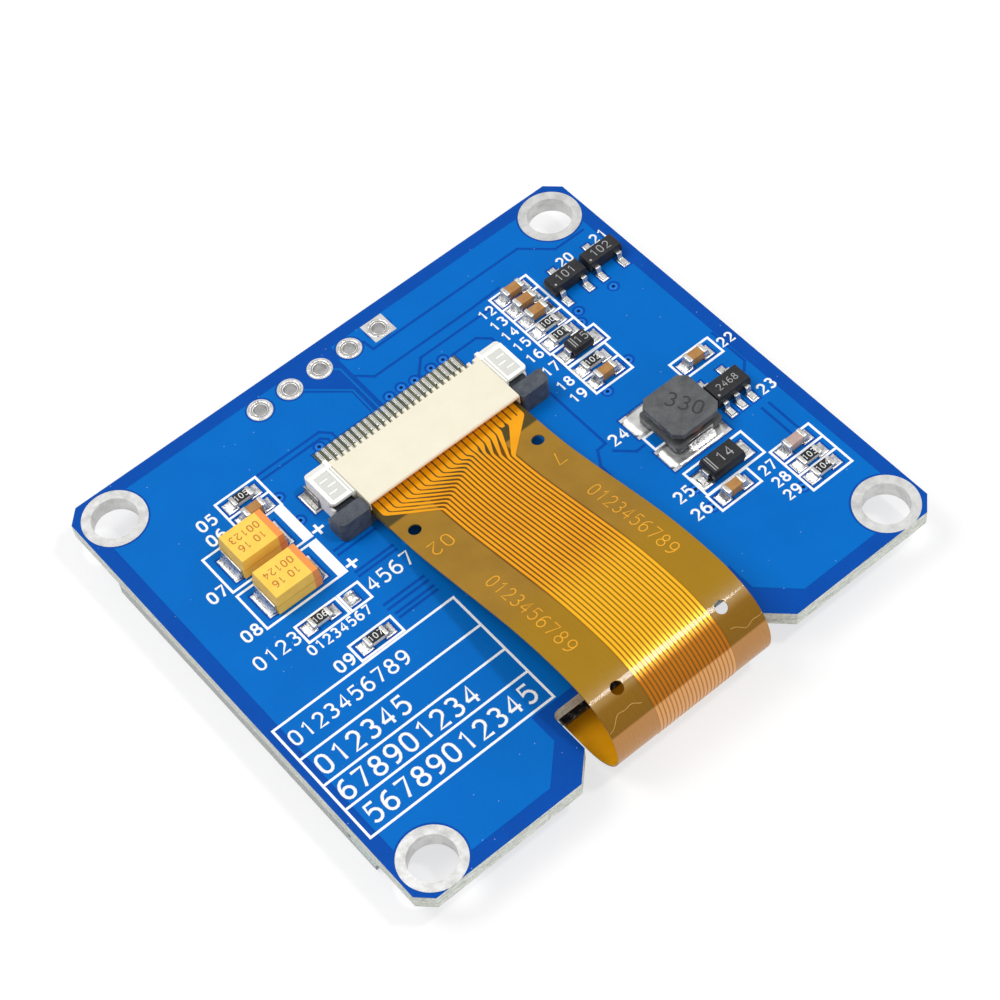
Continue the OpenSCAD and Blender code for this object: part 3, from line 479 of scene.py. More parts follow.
@dataclass(frozen=True)
class Banded(Moulded):
    """A moulded case with a stripe across it at its positive end."""

    band: Colour = (0.8, 0.3, 0.05)
    line: Colour = (0.45, 0.2, 0.02)
    low: float = 0.0
    high: float = 0.0
    seam: float = 4.4
    seam_w: float = 0.06

    def paint(self, graph: Graph) -> None:
        """Adds the stripe and the parting line over the moulded grain."""
        super().paint(graph)
        base = graph.base()
        stripe = graph.within(0, self.low, self.high, 0.03)
        rough = graph.plus(0.75, graph.times(graph.noise(0.08, 2, seed=7), 0.3))
        base = graph.mix(graph.times(stripe, rough), base, self.band)
        line = graph.within(2, self.seam - self.seam_w / 2, self.seam + self.seam_w / 2, 0.02)
        graph.put(Base_Color=graph.mix(graph.times(line, 0.6), base, self.line))


@dataclass(frozen=True)
class Housing(Moulded):
    """The connector's housing: cream plate, whiter end blocks with painted shade in their recesses, and a
    front edge painted with warm light reflected from the film.
    """

    block: Colour = (0.9, 0.9, 0.85)
    shade: Colour = (0.59, 0.59, 0.56)
    film_reflection_tint: Colour = (0.8, 0.5, 0.3)
    half: float = 6.32
    recess: tuple[float, float] = (5.2, 5.31)
    front: float = 4.91

    def paint(self, graph: Graph) -> None:
        """Adds the blocks' tone, painted shade in their recesses and painted warm light reflected from the
        film on the edge over it.
        """
        super().paint(graph)
        base = graph.base()
        plate = graph.within(0, -self.half, self.half, 0.03)
        base = graph.mix(graph.math("SUBTRACT", 1.0, plate), base, self.block)
        # Painted shade: the floors of the end blocks' recesses are darkened as ambient shade would darken
        # them.
        recess_shade_mask = graph.times(graph.within(2, *self.recess, 0.02), graph.ramp(graph.facing(2), 0.6, 0.9))
        base = graph.mix(graph.times(recess_shade_mask, 0.9), base, self.shade)
        # Painted reflection: the plate's front face takes a warm tint, as light reflected from the orange
        # film would give it.
        edge = graph.times(graph.within(1, self.front - 1.0, self.front, 0.02), plate)
        graph.put(Base_Color=graph.mix(graph.times(edge, 0.7), base, self.film_reflection_tint))


@dataclass(frozen=True)
class Pane(Finish):
    """Display glass or polarizer: dark and glossy, with the faint grid of the screen under it."""

    glow: Colour = (0.02, 0.03, 0.04)
    clear: float = 0.0

    def paint(self, graph: Graph) -> None:
        """Adds smudges, the faint cells and the clearness."""
        smudge = graph.ramp(graph.noise(4.0, 4), 0.4, 0.8)
        cells = graph.noise(0.28, 0, stretch=(1, 1, 40))
        tone = graph.plus(graph.times(smudge, 0.5), graph.times(cells, 0.3))
        graph.put(Base_Color=graph.mix(tone, self.colour, self.glow), Transmission_Weight=self.clear, IOR=1.5)
        graph.put(Roughness=graph.plus(self.gloss, graph.times(smudge, 0.08)))
        graph.relief(smudge, 0.002)


class Look:
    """The finishes of this module, by piece."""

    BOARD = Laminate("board_laminate", (0.001, 0.075, 0.4), 0.34, deep=(0.001, 0.05, 0.3))
    POUR = Mask("mask_over_copper", (0.0, 0.142, 0.53), 0.3, deep=(0.0, 0.112, 0.43))
    BARE = Moulded("bare_laminate", (0.12, 0.13, 0.07), 0.6, dark=(0.05, 0.07, 0.05), speck=(0.3, 0.3, 0.2))
    TIN = Metal("levelled_tin", (0.66, 0.66, 0.65), 0.3, stain=(0.36, 0.35, 0.34), patch=0.8, depth=0.02,
                stained=0.6)
    SOLDER = Metal("solder", (0.72, 0.72, 0.71), 0.2, stain=(0.07, 0.065, 0.065), patch=0.22, depth=0.03,
                   stained=0.85)
    CHIP_END = Metal("chip_end_tin", (0.66, 0.65, 0.62), 0.3, stain=(0.25, 0.23, 0.21), patch=0.25,
                     depth=0.012, stained=0.7)
    CONTACT = Metal("contact_tin", (0.84, 0.83, 0.8), 0.22, stain=(0.6, 0.54, 0.5), patch=0.3, depth=0.003,
                    lines=1)
    LEAD = Metal("lead_tin", (0.6, 0.6, 0.58), 0.28, stain=(0.2, 0.19, 0.18), patch=0.3, depth=0.012,
                 stained=0.6)
    CREAM = Housing("cream_plastic", (0.79, 0.745, 0.6), 0.5, dark=(0.76, 0.71, 0.565),
                    speck=(0.86, 0.82, 0.7), grain=0.05, depth=0.0015, specks=0.04)
    GREY = Moulded("grey_plastic", (0.08, 0.09, 0.108), 0.42, dark=(0.04, 0.046, 0.058),
                   speck=(0.25, 0.26, 0.29), grain=0.05, depth=0.004, cloud=0.6, specks=0.09)
    FERRITE = Moulded("ferrite", (0.105, 0.11, 0.115), 0.5, dark=(0.06, 0.063, 0.067),
                      speck=(0.22, 0.22, 0.22), grain=0.05, depth=0.008, cloud=0.8, specks=0.12)
    BLACK = Moulded("moulded_black", (0.018, 0.018, 0.02), 0.42, dark=(0.009, 0.009, 0.011),
                    speck=(0.13, 0.13, 0.13), grain=0.045, depth=0.005, cloud=0.7, specks=0.07)
    # Darker tin. On the connector's hold-downs this darkness is painted shade beside the end blocks.
    FOOT = Metal("foot_tin", (0.34, 0.33, 0.31), 0.34, stain=(0.08, 0.075, 0.07), patch=0.3, depth=0.01,
                 stained=0.8)
    WINDING = Metal("enamelled_wire", (0.3, 0.12, 0.05), 0.3, stain=(0.08, 0.03, 0.02), patch=0.3, depth=0.01)
    TAN = Moulded("tan_ceramic", (0.42, 0.21, 0.065), 0.4, dark=(0.34, 0.165, 0.05), speck=(0.6, 0.38, 0.2),
                  grain=0.05, depth=0.005, cloud=0.4, specks=0.05)
    PINK = Moulded("pink_ceramic", (0.5, 0.36, 0.32), 0.4, dark=(0.42, 0.29, 0.25), speck=(0.7, 0.6, 0.55),
                   grain=0.05, depth=0.005, cloud=0.4, specks=0.05)
    COAT = Moulded("resistor_coat", (0.015, 0.015, 0.016), 0.3, dark=(0.01, 0.01, 0.01),
                   speck=(0.08, 0.08, 0.08), grain=0.05, depth=0.004, cloud=0.4, specks=0.04)
    ALUMINA = Moulded("alumina", (0.7, 0.7, 0.68), 0.5, dark=(0.6, 0.6, 0.58), speck=(0.85, 0.85, 0.85),
                      grain=0.05, depth=0.004, cloud=0.4, specks=0.05)
    VIA = Mask("mask_on_ring", (0.012, 0.2, 0.72), 0.24, deep=(0.006, 0.14, 0.55))
    PIT = Mask("mask_in_hole", (0.001, 0.012, 0.06), 0.4, deep=(0.001, 0.006, 0.03))
    DARK = Ink("dark_mark", (0.012, 0.012, 0.013), 0.5, thin=(0.04, 0.04, 0.042))
    FILM_INK = Coated("film_print", (0.85, 0.42, 0.03), 0.35, deep=(0.7, 0.3, 0.02))
    FILM_EDGE = Coated("cover_edge", (0.62, 0.4, 0.12), 0.3, deep=(0.5, 0.3, 0.08))
    # Dark tin painted as shade: in the contact tails' grooves and round the header holes.
    GROOVE_SHADE = Metal("tail_groove", (0.26, 0.22, 0.2), 0.35, stain=(0.15, 0.12, 0.11), patch=0.3)
    LEDGE = Metal("ledge_metal", (0.3, 0.32, 0.34), 0.25, patch=0.3, depth=0.001)
    SILK = Ink("white_ink", (0.86, 0.89, 0.92), 0.6)
    MARK = Ink("grey_mark", (0.36, 0.36, 0.36), 0.7, thin=(0.1, 0.1, 0.1))
    DIGIT = Ink("white_digit", (0.75, 0.76, 0.76), 0.6, thin=(0.4, 0.4, 0.4))
    BROWN = Ink("brown_mark", (0.5, 0.16, 0.02), 0.6, thin=(0.7, 0.4, 0.08))
    # The film and its tracks carry painted reflections round the bend. The film's darker end is partly
    # painted shade.
    FILM = Coated("film_outer", (0.34, 0.18, 0.018), 0.22, deep=(0.24, 0.125, 0.012), stiffener_shade_from=3.1,
                  bend_y=-17.2, dark=(0.07, 0.05, 0.012), gap_low=-3.0, gap_high=3.4,
                  gap=(0.13, 0.048, 0.001))
    FILM_IN = Coated("film_inner", (0.85, 0.4, 0.004), 0.35, deep=(0.7, 0.3, 0.003))
    COPPER = Coated("film_tracks", (0.86, 0.36, 0.006), 0.25, deep=(0.7, 0.27, 0.004), metallic=0.25,
                    bend_y=-17.2, upper_reflection=(0.38, 0.1, 0.003), lower_reflection=(0.75, 0.38, 0.14),
                    crown=(0.9, 0.45, 0.015))
    STIFFENER = Coated("stiffener", (0.2, 0.14, 0.04), 0.4, deep=(0.1, 0.07, 0.02), coat=0.1)
    POLARIZER = Pane("polarizer", (0.006, 0.007, 0.009), 0.12, glow=(0.012, 0.014, 0.018))
    GLASS = Pane("display_glass", (0.75, 0.85, 0.82), 0.04, glow=(0.65, 0.78, 0.75), clear=0.85)
    EMITTER = Pane("emitting_layers", (0.02, 0.022, 0.03), 0.2, glow=(0.04, 0.045, 0.06))
    SEAL = Moulded("seal_resin", (0.55, 0.55, 0.48), 0.5, dark=(0.45, 0.45, 0.4))
    DRYER = Moulded("drying_sheet", (0.75, 0.74, 0.7), 0.8, dark=(0.65, 0.64, 0.6), grain=0.1, depth=0.02)
    SILICON = Moulded("silicon", (0.12, 0.12, 0.14), 0.25, dark=(0.09, 0.09, 0.11), depth=0.001)
    RESIN = Moulded("dark_resin", (0.05, 0.045, 0.04), 0.3, dark=(0.03, 0.028, 0.025), grain=0.3, depth=0.02)
    FOAM = Moulded("black_foam", (0.03, 0.03, 0.032), 0.9, dark=(0.015, 0.015, 0.016), speck=(0.1, 0.1, 0.1),
                   grain=0.08, depth=0.03)
    TANTALUM = Banded("tantalum_case", (0.95, 0.6, 0.1), 0.42, dark=(0.9, 0.54, 0.075),
                      speck=(0.93, 0.6, 0.2), grain=0.06, depth=0.004, cloud=0.8, specks=0.05,
                      band=(0.84, 0.25, 0.07), low=-12.25, high=-11.0)


# ---- meshes ----


def box_of(node: str) -> tuple[Vector, Vector]:
    """A CAD node's lowest and highest corners in millimetres."""
    low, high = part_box(node)
    return low / MM, high / MM


def link(name: str, data: bpy.types.ID) -> Piece:
    """Puts a mesh, curve, lamp or camera in the scene as an object at the origin.

    Args:
        name: The object's name.
        data: What it shows, in metres.

    Returns:
        The object.
    """
    data.name = name
    piece = bpy.data.objects.new(name, data)
    bpy.context.scene.collection.objects.link(piece)
    return piece


def evaluated(piece: Piece) -> Mesh:
    """A plain mesh of an object with its modifiers applied.

    Args:
        piece: The object.

    Returns:
        The new mesh.
    """
    bpy.context.view_layer.update()
    graph = bpy.context.evaluated_depsgraph_get()
    return bpy.data.meshes.new_from_object(piece.evaluated_get(graph), depsgraph=graph)


def bake(piece: Piece) -> Piece:
    """Applies an object's modifiers and removes them.

    Args:
        piece: The object.

    Returns:
        The same object with a plain mesh.
    """
    mesh = evaluated(piece)
    piece.modifiers.clear()
    old, piece.data = piece.data, mesh
    bpy.data.meshes.remove(old)
    mesh.name = piece.name
    return piece


def smooth(piece: Piece, angle: float = 32.0) -> Piece:
    """Shades a piece smooth, with edges sharper than an angle kept sharp.

    Args:
        piece: The piece.
        angle: The angle in degrees.

    Returns:
        The same piece.
    """
    piece.data.polygons.foreach_set("use_smooth", [True] * len(piece.data.polygons))
    piece.data.set_sharp_from_angle(angle=math.radians(angle))
    return piece


def soften(piece: Piece, width: float, segments: int = 2, angle: float = 30.0) -> Piece:
    """Rounds a piece's sharp edges and evens its shading.

    Args:
        piece: The piece.
        width: Width of the rounding in millimetres.
        segments: Steps in the rounding.
        angle: Edges sharper than this many degrees are rounded.

    Returns:
        The same piece.
    """
    bevel = piece.modifiers.new("Round", "BEVEL")
    bevel.width = width * MM
    bevel.segments = segments
    bevel.limit_method = "ANGLE"
    bevel.angle_limit = math.radians(angle)
    bevel.use_clamp_overlap = True
    bake(piece)
    smooth(piece, 50.0)
    even = piece.modifiers.new("Even", "WEIGHTED_NORMAL")
    even.keep_sharp = True
    return bake(piece)


def add_chain(curve: bpy.types.Curve, points: Sequence[Point], closed: bool = False) -> None:
    """Adds a chain of straight runs to a curve.

    Args:
        curve: The curve.
        points: The chain's corners.
        closed: Whether it ends where it starts.
    """
    spline = curve.splines.new("POLY")
    spline.points.add(len(points) - 1)
    spline.use_cyclic_u = closed
    for point, place in zip(spline.points, points):
        point.co = (*place, 1.0)


def mesh_of(curve: bpy.types.Curve) -> Mesh:
    """The mesh of a curve, which is used up."""
    holder = link(curve.name, curve)
    mesh = evaluated(holder)
    bpy.data.objects.remove(holder)
    bpy.data.curves.remove(curve)
    return mesh


class Builder:
    """Collects prisms and other solids in millimetres, and makes one mesh of them."""

    def __init__(self) -> None:
        """Starts empty."""
        self.bm = bmesh.new()

    def ring(self, points: Iterable[Point]) -> list:
        """Adds a ring of corners, and returns them."""
        return [self.bm.verts.new(point) for point in points]

    def wall(self, one: list, two: list, turned: bool = False) -> list:
        """Adds the faces between two rings.

        Args:
            one: The first ring.
            two: The second ring.
            turned: Whether the faces look the other way.

        Returns:
            The new faces.
        """
        quads = zip(one, one[1:] + one[:1], two[1:] + two[:1], two)
        return [self.bm.faces.new((a, d, c, b) if turned else (a, b, c, d)) for a, b, c, d in quads]

    def prism(self, plan: Chain, low: float, high: float, paint: int = 0) -> list:
        """Adds a plan raised between two heights.

        Args:
            plan: The outline's corners, going round to the left.
            low: Height of its underside.
            high: Height of its top.
            paint: Number of its material.

        Returns:
            The new faces.
        """
        below, above = (self.ring((x, y, z) for x, y in plan) for z in (low, high))
        faces = [self.bm.faces.new(above), self.bm.faces.new(below[::-1]), *self.wall(below, above)]
        for face in faces:
            face.material_index = paint
        return faces

    def box(self, low: Point, high: Point, paint: int = 0) -> list:
        """Adds a box between its lowest and its highest corner, and returns its faces."""
        plan = [(low[0], low[1]), (high[0], low[1]), (high[0], high[1]), (low[0], high[1])]
        return self.prism(plan, low[2], high[2], paint)

    def bar(self, start: Spot2, end: Spot2, width: float, low: float, high: float) -> None:
        """Adds a straight stroke with its ends run out by half its width.

        Args:
            start: One end of its middle line.
            end: The other end.
            width: The stroke's width.
            low: Height of its underside.
            high: Height of its top.
        """
        a, b = Vector(start), Vector(end)
        along = (b - a).normalized() * width / 2
        side = Vector((-along.y, along.x))
        corners = (a - along - side, b + along - side, b + along + side, a - along + side)
        self.prism([tuple(c) for c in corners], low, high)

    def path(self, points: Chain, width: float, low: float, high: float) -> None:
        """Adds strokes of one width along a chain of points, between two heights."""
        for a, b in zip(points, points[1:]):
            self.bar(a, b, width, low, high)

    def frame(self, low: Spot2, high: Spot2, width: float, bottom: float, top: float) -> None:
        """Adds a flat rectangular ring, its line's middle on the rectangle.

        Args:
            low: Its lowest corner.
            high: Its highest corner.
            width: Width of the line.
            bottom: Height of its underside.
            top: Height of its top.
        """
        rings = []
        for out in (width / 2, -width / 2):
            x0, y0, x1, y1 = low[0] - out, low[1] - out, high[0] + out, high[1] + out
            for z in (bottom, top):
                plan = ((x0, y0), (x1, y0), (x1, y1), (x0, y1))
                rings.append(self.ring((x, y, z) for x, y in plan))
        outer0, outer1, inner0, inner1 = rings
        for i in range(4):
            j = (i + 1) % 4
            for a, b in ((outer0, outer1), (outer1, inner1), (inner1, inner0), (inner0, outer0)):
                self.bm.faces.new((a[i], a[j], b[j], b[i]))

    def turned(self, profile: Chain, steps: int, centre: Spot2 = (0.0, 0.0)) -> None:
        """Adds a closed profile turned round a vertical axis.

        Args:
            profile: Corners as radius and height, going round to the left.
            steps: Steps round the axis.
            centre: Where the axis stands.
        """
        rings = []
        for i in range(steps):
            a = 2 * math.pi * i / steps
            rings.append(self.ring((centre[0] + r * math.cos(a), centre[1] + r * math.sin(a), z)
                                   for r, z in profile))
        for one, two in zip(rings, rings[1:] + rings[:1]):
            self.wall(one, two, True)

    def disc(self, centre: Spot2, radius: float, low: float, high: float, steps: int = 24) -> None:
        """Adds an upright cylinder between two heights."""
        turns = [2 * math.pi * i / steps for i in range(steps)]
        plan = [(centre[0] + radius * math.cos(a), centre[1] + radius * math.sin(a)) for a in turns]
        self.prism(plan, low, high)

    def along_x(self, side: Chain, low: float, high: float) -> None:
        """Adds a side view, as y and z, run along X.

        Args:
            side: The side view's corners.
            low: Where it starts.
            high: Where it ends.
        """
        one, two = (self.ring((x, y, z) for y, z in side) for x in (low, high))
        self.bm.faces.new(one)
        self.bm.faces.new(two[::-1])
        self.wall(one, two, True)

    def surface(self, wide: int, long: int, height: Callable[[float, float], Point], floor: float) -> None:
        """Adds a grid raised over its own outline, closed below.

        Args:
            wide: Cells across.
            long: Cells along.
            height: Gives the point for two shares from 0 to 1.
            floor: Height of its flat underside.
        """
        top = [self.ring(height(i / wide, j / long) for i in range(wide + 1)) for j in range(long + 1)]
        for j in range(long):
            for i in range(wide):
                self.bm.faces.new((top[j][i], top[j][i + 1], top[j + 1][i + 1], top[j + 1][i]))
        rim = [top[0][i] for i in range(wide + 1)] + [top[j][wide] for j in range(1, long + 1)]
        rim += [top[long][i] for i in range(wide - 1, -1, -1)] + [top[j][0] for j in range(long - 1, 0, -1)]
        foot = self.ring((v.co.x, v.co.y, floor) for v in rim)
        self.wall(foot, rim)
        self.bm.faces.new(foot[::-1])

    def take(self, mesh: Mesh) -> None:
        """Adds a mesh's shape, and removes the mesh."""
        self.bm.from_mesh(mesh)
        bpy.data.meshes.remove(mesh)

    def copy(self, node: str) -> None:
        """Adds a CAD node's shape, with its doubles merged and its flat faces joined.

        Args:
            node: The node's name.
        """
        part = bmesh.new()
        part.from_mesh(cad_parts[node].data)
        bmesh.ops.remove_doubles(part, verts=part.verts, dist=MERGE)
        bmesh.ops.dissolve_limit(part, angle_limit=math.radians(0.5), verts=part.verts, edges=part.edges)
        bmesh.ops.scale(part, vec=(1 / MM,) * 3, verts=part.verts)
        mesh = bpy.data.meshes.new("part")
        part.to_mesh(mesh)
        part.free()
        self.take(mesh)

    def make(self, name: str, fix: bool = False) -> Piece:
        """Makes the piece, in metres.

        Args:
            name: The piece's name.
            fix: Whether to merge doubles and turn the faces outwards.

        Returns:
            The new object.
        """
        if fix:
            bmesh.ops.remove_doubles(self.bm, verts=self.bm.verts, dist=1e-5)
            bmesh.ops.recalc_face_normals(self.bm, faces=self.bm.faces)
        bmesh.ops.scale(self.bm, vec=(MM,) * 3, verts=self.bm.verts)
        mesh = bpy.data.meshes.new(name)
        self.bm.to_mesh(mesh)
        self.bm.free()
        return link(name, mesh)


def cut_with(piece: Piece, cutter: Builder) -> Piece:
    """Cuts solids out of a piece.

    Args:
        piece: The piece.
        cutter: The solids.

    Returns:
        The same piece.
    """
    tool = cutter.make("cutter", fix=True)
    cut = piece.modifiers.new("Cut", "BOOLEAN")
    cut.operation = "DIFFERENCE"
    cut.solver = "EXACT"
    cut.use_self = True
    cut.object = tool
    bake(piece)
    bpy.data.objects.remove(tool)
    return piece


def islands(node: str) -> list[tuple[Vector, Vector, Vector]]:
    """The separate solids of a CAD node.

    Args:
        node: The node's name.

    Returns:
        For each solid its lowest corner, its highest corner and the middle of its highest points, in
        millimetres.
    """
    bm = bmesh.new()
    bm.from_mesh(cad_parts[node].data)
    bmesh.ops.remove_doubles(bm, verts=bm.verts, dist=MERGE)
    bm.verts.ensure_lookup_table()
    seen: set[int] = set()
    found = []
    for start in bm.verts:
        if start.index in seen:
            continue
        queue, group = [start], []
        seen.add(start.index)
        while queue:
            vert = queue.pop()
            group.append(vert.co / MM)
            for edge in vert.link_edges:
                other = edge.other_vert(vert)
                if other.index not in seen:
                    seen.add(other.index)
                    queue.append(other)
        low = Vector([min(c[i] for c in group) for i in range(3)])
        high = Vector([max(c[i] for c in group) for i in range(3)])
        tops = [c for c in group if c.z > high.z - 0.002]
        found.append((low, high, sum(tops, Vector()) / len(tops)))
    bm.free()
    return sorted(found, key=lambda item: (round(item[0].y, 2), round(item[0].x, 2)))


def arc(x: float, y: float, wide: float, high: float, start: float, end: float) -> list[Spot2]:
    """Points along a part of an ellipse.

    Args:
        x: Its middle.
        y: Its middle.
        wide: Its half width.
        high: Its half height.
        start: Where the part starts, in degrees.
        end: Where it ends.

    Returns:
        The points.
    """
    steps = max(3, round(abs(end - start) / 28))
    turns = [math.radians(start + (end - start) * i / steps) for i in range(steps + 1)]
    return [(x + wide * math.cos(a), y + high * math.sin(a)) for a in turns]


FIGURES: dict[str, list[list[Spot2]]] = {
    "0": [arc(0.3, 0.68, 0.27, 0.32, 0, 180) + arc(0.3, 0.32, 0.27, 0.32, 180, 360) + [(0.57, 0.68)]],
    "1": [[(0.12, 0.78), (0.36, 1.0), (0.36, 0.0)]],
    "2": [arc(0.3, 0.71, 0.27, 0.29, 165, -35) + [(0.02, 0.0), (0.6, 0.0)]],
    "3": [arc(0.28, 0.76, 0.26, 0.24, 145, -90), arc(0.28, 0.27, 0.3, 0.27, 90, -145)],
    "4": [[(0.45, 0.0), (0.45, 1.0), (0.0, 0.3)], [(0.0, 0.3), (0.6, 0.3)]],
    "5": [[(0.54, 1.0), (0.1, 1.0), (0.05, 0.55)] + arc(0.28, 0.33, 0.3, 0.33, 118, -140)],
    "6": [arc(0.42, 0.5, 0.4, 0.5, 80, 180) + [(0.02, 0.3)], arc(0.3, 0.3, 0.28, 0.3, 180, -180)],
    "7": [[(0.0, 1.0), (0.58, 1.0), (0.2, 0.0)]],
    "8": [arc(0.3, 0.76, 0.23, 0.24, -90, 270), arc(0.3, 0.26, 0.29, 0.26, 90, 450)],
    "9": [arc(0.18, 0.5, 0.4, 0.5, -100, 0) + [(0.58, 0.7)], arc(0.3, 0.7, 0.28, 0.3, 0, 360)],
    "-": [[(0.05, 0.45), (0.55, 0.45)]],
}
FIGURE_STEP = 0.9
STAGGER = 0.0008
SPACE_STEP = 0.5


def strokes(lines: Iterable[Chain], width: float, thick: float) -> Mesh:
    """Rounded flat strokes along chains of points, standing on z = 0, in millimetres.

    Args:
        lines: The chains.
        width: Width of a stroke.
        thick: Thickness of the print.

    Returns:
        The mesh.
    """
    curve = bpy.data.curves.new("strokes", "CURVE")
    curve.dimensions = "3D"
    curve.bevel_depth = width / 2
    curve.bevel_resolution = 1
    curve.use_fill_caps = True
    for number, line in enumerate(lines):
        lift = (number % 3) * STAGGER * width / thick
        closed = (Vector(line[0]) - Vector(line[-1])).length < 1e-4
        add_chain(curve, [(x, y, lift) for x, y in (line[:-1] if closed else line)], closed)
    mesh = mesh_of(curve)
    flat = Matrix.Diagonal((1.0, 1.0, thick / width, 1.0))
    mesh.transform(Matrix.Translation((0, 0, thick / 2)) @ flat)
    return mesh


def place_letters(target: Builder, words: str, height: float, thick: float, at: Point, turn: float = 0.0,
                  weight: float = 0.15, mirrored: bool = False) -> None:
    """Adds plain figures to a builder, their middle on a point.

    Args:
        target: The builder.
        words: The figures.
        height: Height of a figure in millimetres.
        thick: Thickness of the print.
        at: The middle of their underside.
        turn: Turn about the vertical, in degrees.
        weight: Width of a stroke as a share of the height.
        mirrored: Whether they are drawn in a mirror.
    """
    lines, x = [], 0.0
    for figure in words:
        for line in FIGURES.get(figure, []):
            lines.append([((x + u) * height, (v - 0.5) * height) for u, v in line])
        x += SPACE_STEP if figure == " " else FIGURE_STEP
    middle = (x - (FIGURE_STEP - 0.6)) * height / 2
    mesh = strokes(lines, weight * height, thick)
    mesh.transform(Matrix.Translation((-middle, 0, 0)))
    if mirrored:
        mesh.transform(Matrix.Diagonal((-1.0, 1.0, 1.0, 1.0)))
        mesh.flip_normals()
    mesh.transform(Matrix.Translation(at) @ Matrix.Rotation(math.radians(turn), 4, "Z"))
    target.take(mesh)


# ---- geometry nodes ----


@dataclass
class Spot:
    """Where a repeated shape stands, in millimetres, how it is turned in degrees and how it is stretched."""

    at: Point
    turn: float = 0.0
    stretch: Point = (1.0, 1.0, 1.0)


def socket_id(tree: Tree, name: str) -> str:
    """The identifier that a modifier uses for a node group's input."""
    return next(item.identifier for item in tree.interface.items_tree
                if item.item_type == "SOCKET" and item.in_out == "INPUT" and item.name == name)


def new_tree(name: str, inputs: Iterable[tuple[str, str]]) -> tuple[Tree, Node, Node]:
    """Starts a Geometry Nodes tree with named inputs and one geometry output.

    Args:
        name: The tree's name.
        inputs: Name and socket type of each input.

    Returns:
        The tree, its input node and its output node.
    """
    tree = bpy.data.node_groups.new(name, "GeometryNodeTree")
    for label, kind in inputs:
        tree.interface.new_socket(label, in_out="INPUT", socket_type=kind)
    tree.interface.new_socket("Geometry", in_out="OUTPUT", socket_type="NodeSocketGeometry")
    return tree, tree.nodes.new("NodeGroupInput"), tree.nodes.new("NodeGroupOutput")


def named_value(tree: Tree, name: str, kind: str) -> Socket:
    """The value of a named attribute of one data type."""
    node = add_node(tree, "GeometryNodeInputNamedAttribute", {"Name": name}, data_type=kind)
    return next(o for o in node.outputs if o.enabled and o.name == "Attribute")


class Repeater:
    """Sets one shape on every spot of a layout."""

    def __init__(self) -> None:
        """Builds the tree: instances on the layout's points, realized, with one material."""
        tree, source, output = new_tree("Repeat", [
            ("Layout", "NodeSocketGeometry"), ("Shape", "NodeSocketObject"),
            ("Finish", "NodeSocketMaterial")])
        self.tree = tree
        info = add_node(tree, "GeometryNodeObjectInfo", {"Object": source.outputs["Shape"]})
        copies = add_node(tree, "GeometryNodeInstanceOnPoints", {
            "Points": source.outputs["Layout"], "Instance": info.outputs["Geometry"],
            "Rotation": named_value(tree, "turn", "FLOAT_VECTOR"),
            "Scale": named_value(tree, "stretch", "FLOAT_VECTOR")})
        realize = add_node(tree, "GeometryNodeRealizeInstances", {0: copies.outputs[0]})
        finish = add_node(tree, "GeometryNodeSetMaterial", {
            "Geometry": realize.outputs[0], "Material": source.outputs["Finish"]})
        feed(output, 0, finish.outputs[0])

    def make(self, name: str, shape: Piece, spots: Sequence[Spot], finish: Finish, slot: Slot,
             stands_for: Sequence[str] = ()) -> Piece:
        """Makes one piece of a shape repeated on spots. The shape's own object is used up.

        Args:
            name: The piece's name.
            shape: The shape, standing at the origin.
            spots: Where it is repeated.
            finish: The piece's finish.
            slot: Not used.
            stands_for: The CAD nodes that it replaces.

        Returns:
            The piece.
        """
        layout = bpy.data.meshes.new(name)
        layout.from_pydata([tuple(c * MM for c in spot.at) for spot in spots], [], [])
        for label, values in (("turn", [(0.0, 0.0, math.radians(s.turn)) for s in spots]),
                              ("stretch", [s.stretch for s in spots])):
            layer = layout.attributes.new(label, "FLOAT_VECTOR", "POINT")
            layer.data.foreach_set("vector", [c for value in values for c in value])
        piece = link(name, layout)
        repeat = piece.modifiers.new("Repeat", "NODES")
        repeat.node_group = self.tree
        repeat[socket_id(self.tree, "Shape")] = shape
        repeat[socket_id(self.tree, "Finish")] = finish.material()
        bake(piece)
        for label in ("turn", "stretch"):
            layer = piece.data.attributes.get(label)
            if layer:
                piece.data.attributes.remove(layer)
        bpy.data.objects.remove(shape)
        return settle(piece, stands_for=stands_for)


